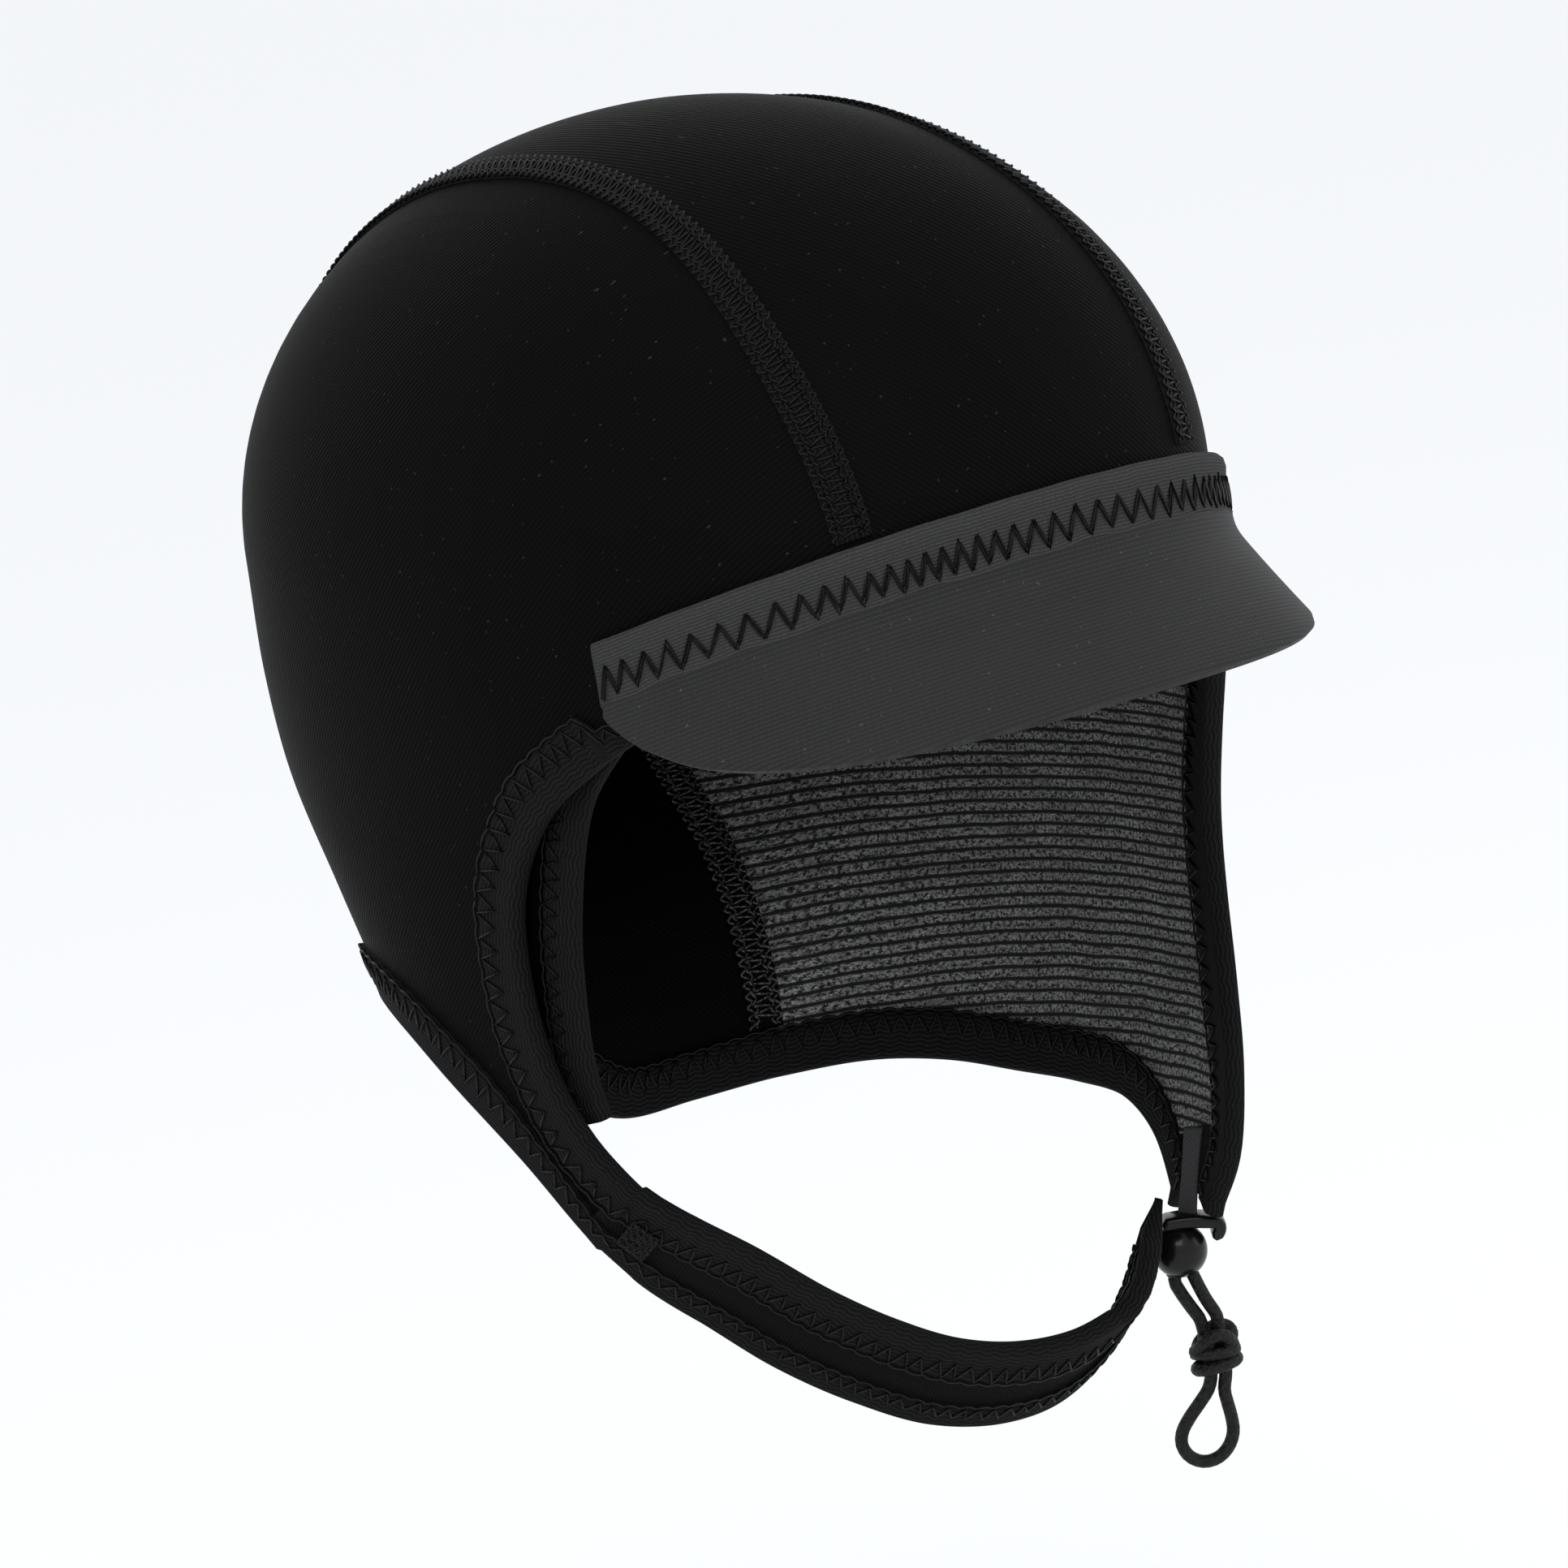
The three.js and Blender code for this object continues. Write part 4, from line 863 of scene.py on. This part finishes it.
# ---------------------------------------------------------------- brow band and peak
def brow_band():
    count = 260
    azimuth = np.radians(np.linspace(-BAND_REACH, BAND_REACH, count))
    arc = np.radians(BAND_REACH) * np.linspace(-1, 1, count) * 90
    ripple = 0.22 * np.sin(arc / 2.3) + 0.15 * np.sin(arc / 5.1 + 1)
    fade = np.minimum(1, np.minimum(np.arange(count), np.arange(count)[::-1]) / 6) ** 0.5
    profile = [(-0.06, 0.2), (-0.07, 1.4), (-0.03, 2.3), (0.04, 2.75), (0.1, 2.5), (0.35, 2.25), (0.6, 2.45), (0.8, 2.75),
               (0.93, 2.5), (0.985, 1.9), (1.0, 1.1), (1.0, 0.1), (0.5, 0.05)]
    rings, uvs = [], []
    for up, out in profile:
        wobble = ripple * (1 if up < 0.2 else 0.2)
        spot = brow_point(azimuth, up * BAND_HEIGHT + wobble)
        rings.append(spot + form_normal(spot) * (out * (0.35 + 0.65 * fade) + 0.1)[:, None])
        uvs.append(np.stack([arc, np.full(count, up * BAND_HEIGHT)], 1))
    band = loft("brow_tape", np.stack(rings, 1), np.stack(uvs, 1), [TAPE])
    rng = np.random.default_rng(5)
    marks, place = [arc[0] + 1.5], 1
    while marks[-1] < arc[-1] - 2:
        dense = 0.62 + 0.38 * math.sin(marks[-1] / 11.0 + 0.7)
        marks.append(marks[-1] + 1.15 + 1.25 * dense + rng.normal(0, 0.12))
    marks = np.array(marks)
    steps = np.linspace(0, len(marks) - 1, (len(marks) - 1) * 4 + 1)
    paths = []
    for shift, low, high in ((0.0, 0.12, 0.6), (0.4, 0.1, 0.58)):
        ups = np.where(np.arange(len(marks)) % 2, high, low) + rng.normal(0, 0.025, len(marks))
        a = np.interp(np.interp(steps, np.arange(len(marks)), marks) + shift, arc, azimuth)
        up = np.interp(steps, np.arange(len(marks)), ups)
        spot = brow_point(a, up * BAND_HEIGHT)
        paths.append(spot + form_normal(spot) * (2.62 + 0.16 * np.sin(math.pi * (steps % 1)))[:, None])
    zig = tubes("brow_zigzag", paths, 0.24, THREAD, 5)
    return band, zig


band, zig = brow_band()
finish_piece(band, "grey_tape", "brow_band")
finish_piece(zig, "thread")


def peak():
    count, steps = 200, 26
    share = np.linspace(-1, 1, count)
    azimuth = np.radians(PEAK_REACH * share)
    root = brow_point(azimuth, np.full(count, 0.4))
    out = form_normal(root)
    out[:, 2] = 0
    out = unit(out)
    root = root + out * (0.35 + 2.4)
    full = np.maximum(1 - np.abs(share) ** 2.3, 0) ** 0.83
    length = PEAK_THICKNESS + (PEAK_LENGTH - PEAK_THICKNESS) * full
    droop = np.radians(44 + (75 - 44) * share**2)
    upper, lower, places_ = [], [], []
    spot = root.copy()
    for k in range(steps + 1):
        t = k / steps
        x = min(max(t / 0.3, 0), 1)
        angle = math.pi / 2 + (droop - math.pi / 2) * (x * x * (3 - 2 * x))
        ahead = out * np.cos(angle)[:, None] + np.array([0, 0, -1.0]) * np.sin(angle)[:, None]
        over = out * np.sin(angle)[:, None] + np.array([0, 0, 1.0]) * np.cos(angle)[:, None]
        if k:
            spot = spot + ahead * (length / steps)[:, None]
        edge = 0.55 * max(0, (t - 0.965) / 0.035) ** 2
        upper.append(spot - over * edge)
        lower.append(spot - over * (PEAK_THICKNESS * 0.92 - edge))
        places_.append(np.stack([azimuth * 100, np.full(count, 0.0) + t * length], 1))
    rings = np.stack(upper + lower[::-1], 1)
    uvs = np.stack(places_ + places_[::-1], 1)
    obj = loft("peak_skin", rings, uvs, [FOAM])
    mod = obj.modifiers.new("edges", "EDGE_SPLIT")
    mod.split_angle = math.radians(50)
    return obj


finish_piece(peak(), "grey_neoprene", "peak")


# ---------------------------------------------------------------- strap
def strap_frames(face_tip, ear_tip, count):
    start = (face_tip + ear_tip) / 2
    places_ = STRAP[:, :3] * (HALF_WIDTH, -BROW_LENGTH, -SIDE_DROP)
    last = len(places_) - 1
    miss = LOCK + STRAP_END - places_[last]
    places_ = places_ + miss * ((np.arange(last + 1) / last) ** 4)[:, None]
    rise = np.sqrt(np.maximum(1 - STRAP[:, 4] ** 2 - STRAP[:, 5] ** 2, 0))
    leans = np.stack([STRAP[:, 5], -STRAP[:, 4], rise], 1)
    t = np.linspace(0, 1, count)
    curve = Spline([start, *places_])
    middle, along = curve.at(t), curve.tangent(t)
    across = Spline([unit(face_tip - ear_tip), *leans], False).at(t)
    across = unit(across - along * (across * along).sum(-1)[:, None])
    place = t * len(places_) - 1
    table = np.stack([np.arange(len(places_)), STRAP[:, 3]], 1).astype(float)
    tip = np.linalg.norm(face_tip - ear_tip) / 2
    whole = STRAP_WIDTH / 2
    half = np.where(place < 0, whole + (tip - whole) * -place, whole * column(table, 1, np.maximum(place, 0)))
    return middle, along, across, np.cross(along, across), half


middle, along, across, out, half = strap_frames(right[-1, 0], right[-1, -1], 300)
# The last millimetres of the strap run on to the lock's plate, narrowing
more = np.linspace(0.6, 7.2, 11)
thin = half[-1] * 0.11 * more
middle = np.concatenate([middle, middle[-1] + along[-1] * more[:, None] - across[-1] * thin[:, None]])
half = np.concatenate([half, half[-1] - thin])
along, across, out = (np.concatenate([v, np.repeat(v[-1:], 11, 0)]) for v in (along, across, out))


strap_thick = STRAP_THICKNESS * np.clip(half / 3.2, 0.3, 1)


def strap_rim(edge, reach):
    spots = middle + across * (edge * half)[:, None]
    rim = Rim(spots, across * -edge, out, np.zeros(len(spots), bool), reach * 2 * half / STRAP_WIDTH, 0)
    rim.thick = strap_thick
    return rim


def strap_body():
    cols = np.linspace(-1, 1, 15)
    top = middle[:, None] + across[:, None] * (half[:, None] * cols)[..., None] * 0.985
    bulge = 0.18 * np.cos(cols * math.pi / 2)[None, :, None]
    face = top + out[:, None] * bulge
    back = top - out[:, None] * (strap_thick[:, None, None] + bulge)
    rings = np.concatenate([face, back[:, ::-1]], 1)
    rings[0] -= along[0] * 2.5
    flat = np.stack([np.broadcast_to(arc_of(middle)[:, None], top.shape[:2]), half[:, None] * cols], -1)
    return loft("strap_skin", rings, np.concatenate([flat, flat[:, ::-1]], 1), [STRAP_CLOTH])


finish_piece(strap_body(), "jersey", "chin_strap")

# ---------------------------------------------------------------- bound edges
def narrowed(rim, reach, span=34.0):
    left_over = arc_of(rim.spots)[-1] - arc_of(rim.spots)
    share = np.clip(1 - left_over / span, 0, 1)
    rim.reach = np.minimum(rim.reach, BINDING_WIDTH + (reach - BINDING_WIDTH) * share)
    return rim


def face_rim(rows, reach):
    rim = form_rim(rows[:, 0], rows[:, 3])
    spot = rim.spots
    azimuth = np.degrees(np.arctan2(np.abs(spot[:, 0]), -spot[:, 1]))
    room = brow_level(spot[:, 1]) - spot[:, 2] - 3.4
    free = azimuth > BAND_REACH + 1.5
    rim.reach = np.where(free, BINDING_WIDTH, np.clip(room, 0, BINDING_WIDTH))
    start = int(np.argmax(rim.reach > 1.6))
    return narrowed(rim.part(np.arange(start, len(spot))), reach)


def densely(rim, step=0.6):
    """The rim with its frames at even short steps, so that scallops are round."""
    line = arc_of(rim.spots)
    fine = np.linspace(0, line[-1], int(line[-1] / step))
    many = Rim(*[np.stack([np.interp(fine, line, getattr(rim, k)[:, a]) for a in range(3)], 1) for k in ("spots", "inward", "out")],
               np.interp(fine, line, rim.on_form.astype(float)) > 0.5, np.interp(fine, line, rim.reach), 0)
    many.inward, many.out = unit(many.inward), unit(many.out)
    many.thick = np.interp(fine, line, rim.thick)
    many.lift = np.interp(fine, line, rim.lift)
    return many


def dress(name, rim, slot, nodes, seed, inside=True, low=0.42, high=0.93, pitch=3.6, stop=0):
    rim = densely(rim)
    finish_piece(binding(name + "_tape", rim, JERSEY), slot, *nodes)
    paths = [zigzag(rim, low, high, pitch, 1.08, seed, stop), edge_loops(rim, 3.9, 0.9, seed + 1, stop)]
    if inside:
        paths += [zigzag(rim, low, high, pitch, -1.08, seed + 2, stop), edge_loops(rim, 3.9, -0.9, seed + 3, stop)]
    finish_piece(tubes(name + "_threads", paths, 0.24, THREAD, 5), "thread")


strap_top, strap_low = strap_rim(1, STRAP_TOP), strap_rim(-1, STRAP_LOW)
face_right = face_rim(right, STRAP_TOP)
face_left = face_rim(left, TIP_BINDING)
ear_right = narrowed(form_rim(right[:, -1], right[:, -4]), STRAP_LOW)
ear_left = narrowed(form_rim(left[:, -1], left[:, -4]), TIP_BINDING)
nape = form_rim(centre[-1], centre[-4])


def drawn_down(rim, length=2.6):
    """The rim carried on past its last spot, down to the lock."""
    step = np.array([[0, 0, -1.0]])
    last = rim.part(np.array([-1] * 4))
    last.spots = last.spots + step * np.linspace(length / 4, length, 4)[:, None]
    return rim.join(last)


def backwards(rim):
    return rim.part(np.arange(len(rim.spots))[::-1])


dress("face_right", face_right.part(np.arange(len(face_right.spots) - 1)).join(strap_top.part(np.arange(12, len(middle)))),
      "jersey", ["face_binding_right"], 21, stop=8)
dress("face_left", drawn_down(face_left), "jersey", ["face_binding_left"], 31)
nape_rim = backwards(drawn_down(ear_left, 3.4)).join(backwards(nape).part(np.arange(1, len(nape.spots) - 1)), ear_right.part(np.arange(len(ear_right.spots) - 1)),
                                    strap_low.part(np.arange(12, len(middle))))
dress("nape", nape_rim, "jersey", ["nape_binding"], 41, stop=8)

# ---------------------------------------------------------------- inner flap
INNER_DEPTH = WALL + 2 * 1.35 + 0.35
edge = Spline(side_places(INNER_FLAP, False)).evenly(90)[:86]
shares = np.linspace(0, 1, 14)
inner = side_point(-1, edge[:, None, 1] + shares[None] * 20.0, edge[:, None, 2] + 0 * shares[None])
finish_piece(sheet("inner_flap_skin", inner, INNER_DEPTH, 1.5, inner[..., [1, 2]], [LINING, LINING]), "jersey", "inner_flap_right")
dress("inner_flap", form_rim(inner[:, 0], inner[:, 2], 7.2, 1.5, -INNER_DEPTH), "jersey", ["inner_flap_binding"], 51, inside=False)


# ---------------------------------------------------------------- bartack and tab
def bartack():
    rng = np.random.default_rng(9)
    k = 15
    centre_, way, over, up = middle[k], along[k], across[k], out[k]
    paths = []
    for row in np.linspace(-3.1, 3.1, 12):
        t = np.linspace(-2.9, 2.9, 24)
        height = 1.25 + 0.22 * np.sin(t * 4 + row * 3) + rng.normal(0, 0.03, len(t))
        side = row + 0.14 * np.sin(t * 5 + row)
        paths.append(centre_ + way * t[:, None] + over * side[:, None] + up * height[:, None])
    for t0 in np.linspace(-2.6, 2.6, 9):
        s = np.linspace(-3.3, 3.3, 20)
        paths.append(centre_ + way * (t0 + 0.2 * np.sin(s * 4))[:, None] + over * s[:, None] + up * (1.3 + 0.14 * np.cos(s * 4 + t0))[:, None])
    return tubes("bartack_threads", paths, 0.3, THREAD, 5)


finish_piece(bartack(), "thread", "bartack_right")


def flap_tab():
    tip = (left[-1, 0] + left[-1, -1]) / 2
    high = onto_form(tip + (0, 0, 13.0))
    high = high - form_normal(high) * (WALL + 0.7 + 0.65 + 0.35 + 0.5)
    foot = lock_point(PLATE_SHIFT, BALL_RADIUS + PLATE_THICKNESS - 0.3)
    way = np.array([math.sin(0.2), -math.cos(0.2), 0])
    face = np.array([-way[1], way[0], 0])
    rings, uvs = [], []
    for t in np.linspace(0, 1, 24):
        spot = high + (foot - high) * t
        wide = 2.2 * (1 - 0.12 * math.sin(math.pi * t))
        ring, uv = [], []
        for a in np.linspace(0, 2 * math.pi, 16, endpoint=False):
            c, s = math.cos(a), math.sin(a)
            w = wide * math.copysign(abs(c) ** 0.4, c)
            ring.append(spot + way * w + face * 0.5 * math.copysign(abs(s) ** 0.6, s))
            uv.append((t * 14, w))
        rings.append(ring)
        uvs.append(uv)
    return loft("tab_skin", np.array(rings), np.array(uvs), [TAB_FACE])


finish_piece(flap_tab(), "grey_neoprene", "flap_tab")

# ---------------------------------------------------------------- floor and light
floor_mesh = bpy.data.meshes.new("floor")
floor_mesh.from_pydata([(-30, -30, -0.42), (30, -30, -0.42), (30, 30, -0.42), (-30, 30, -0.42)], [], [(0, 1, 2, 3)])
floor = bpy.data.objects.new("floor", floor_mesh)
floor_look, _tree, _shader = material("floor", (0.925, 0.932, 0.945), 0.9, 0.0)
floor_mesh.materials.append(floor_look)
bpy.context.scene.collection.objects.link(floor)

world = bpy.data.worlds.new("studio")
world.use_nodes = True
world.node_tree.nodes["Background"].inputs[0].default_value = (0.97, 0.985, 1.0, 1)
world.node_tree.nodes["Background"].inputs[1].default_value = 1.0
bpy.context.scene.world = world
bpy.context.scene.view_settings.view_transform = "Standard"


def area_light(name, place, target, size, power):
    data = bpy.data.lights.new(name, "AREA")
    data.shape = "RECTANGLE"
    data.size, data.size_y = size
    data.energy = power
    obj = bpy.data.objects.new(name, data)
    obj.location = place
    obj.rotation_euler = (Vector(target) - Vector(place)).to_track_quat("-Z", "Y").to_euler()
    bpy.context.scene.collection.objects.link(obj)


area_light("key", (-0.9, -1.3, 1.3), (0, 0, -0.08), (1.0, 0.8), 11)
area_light("fill", (1.3, -0.9, 0.35), (0, 0, -0.1), (0.8, 1.0), 3)
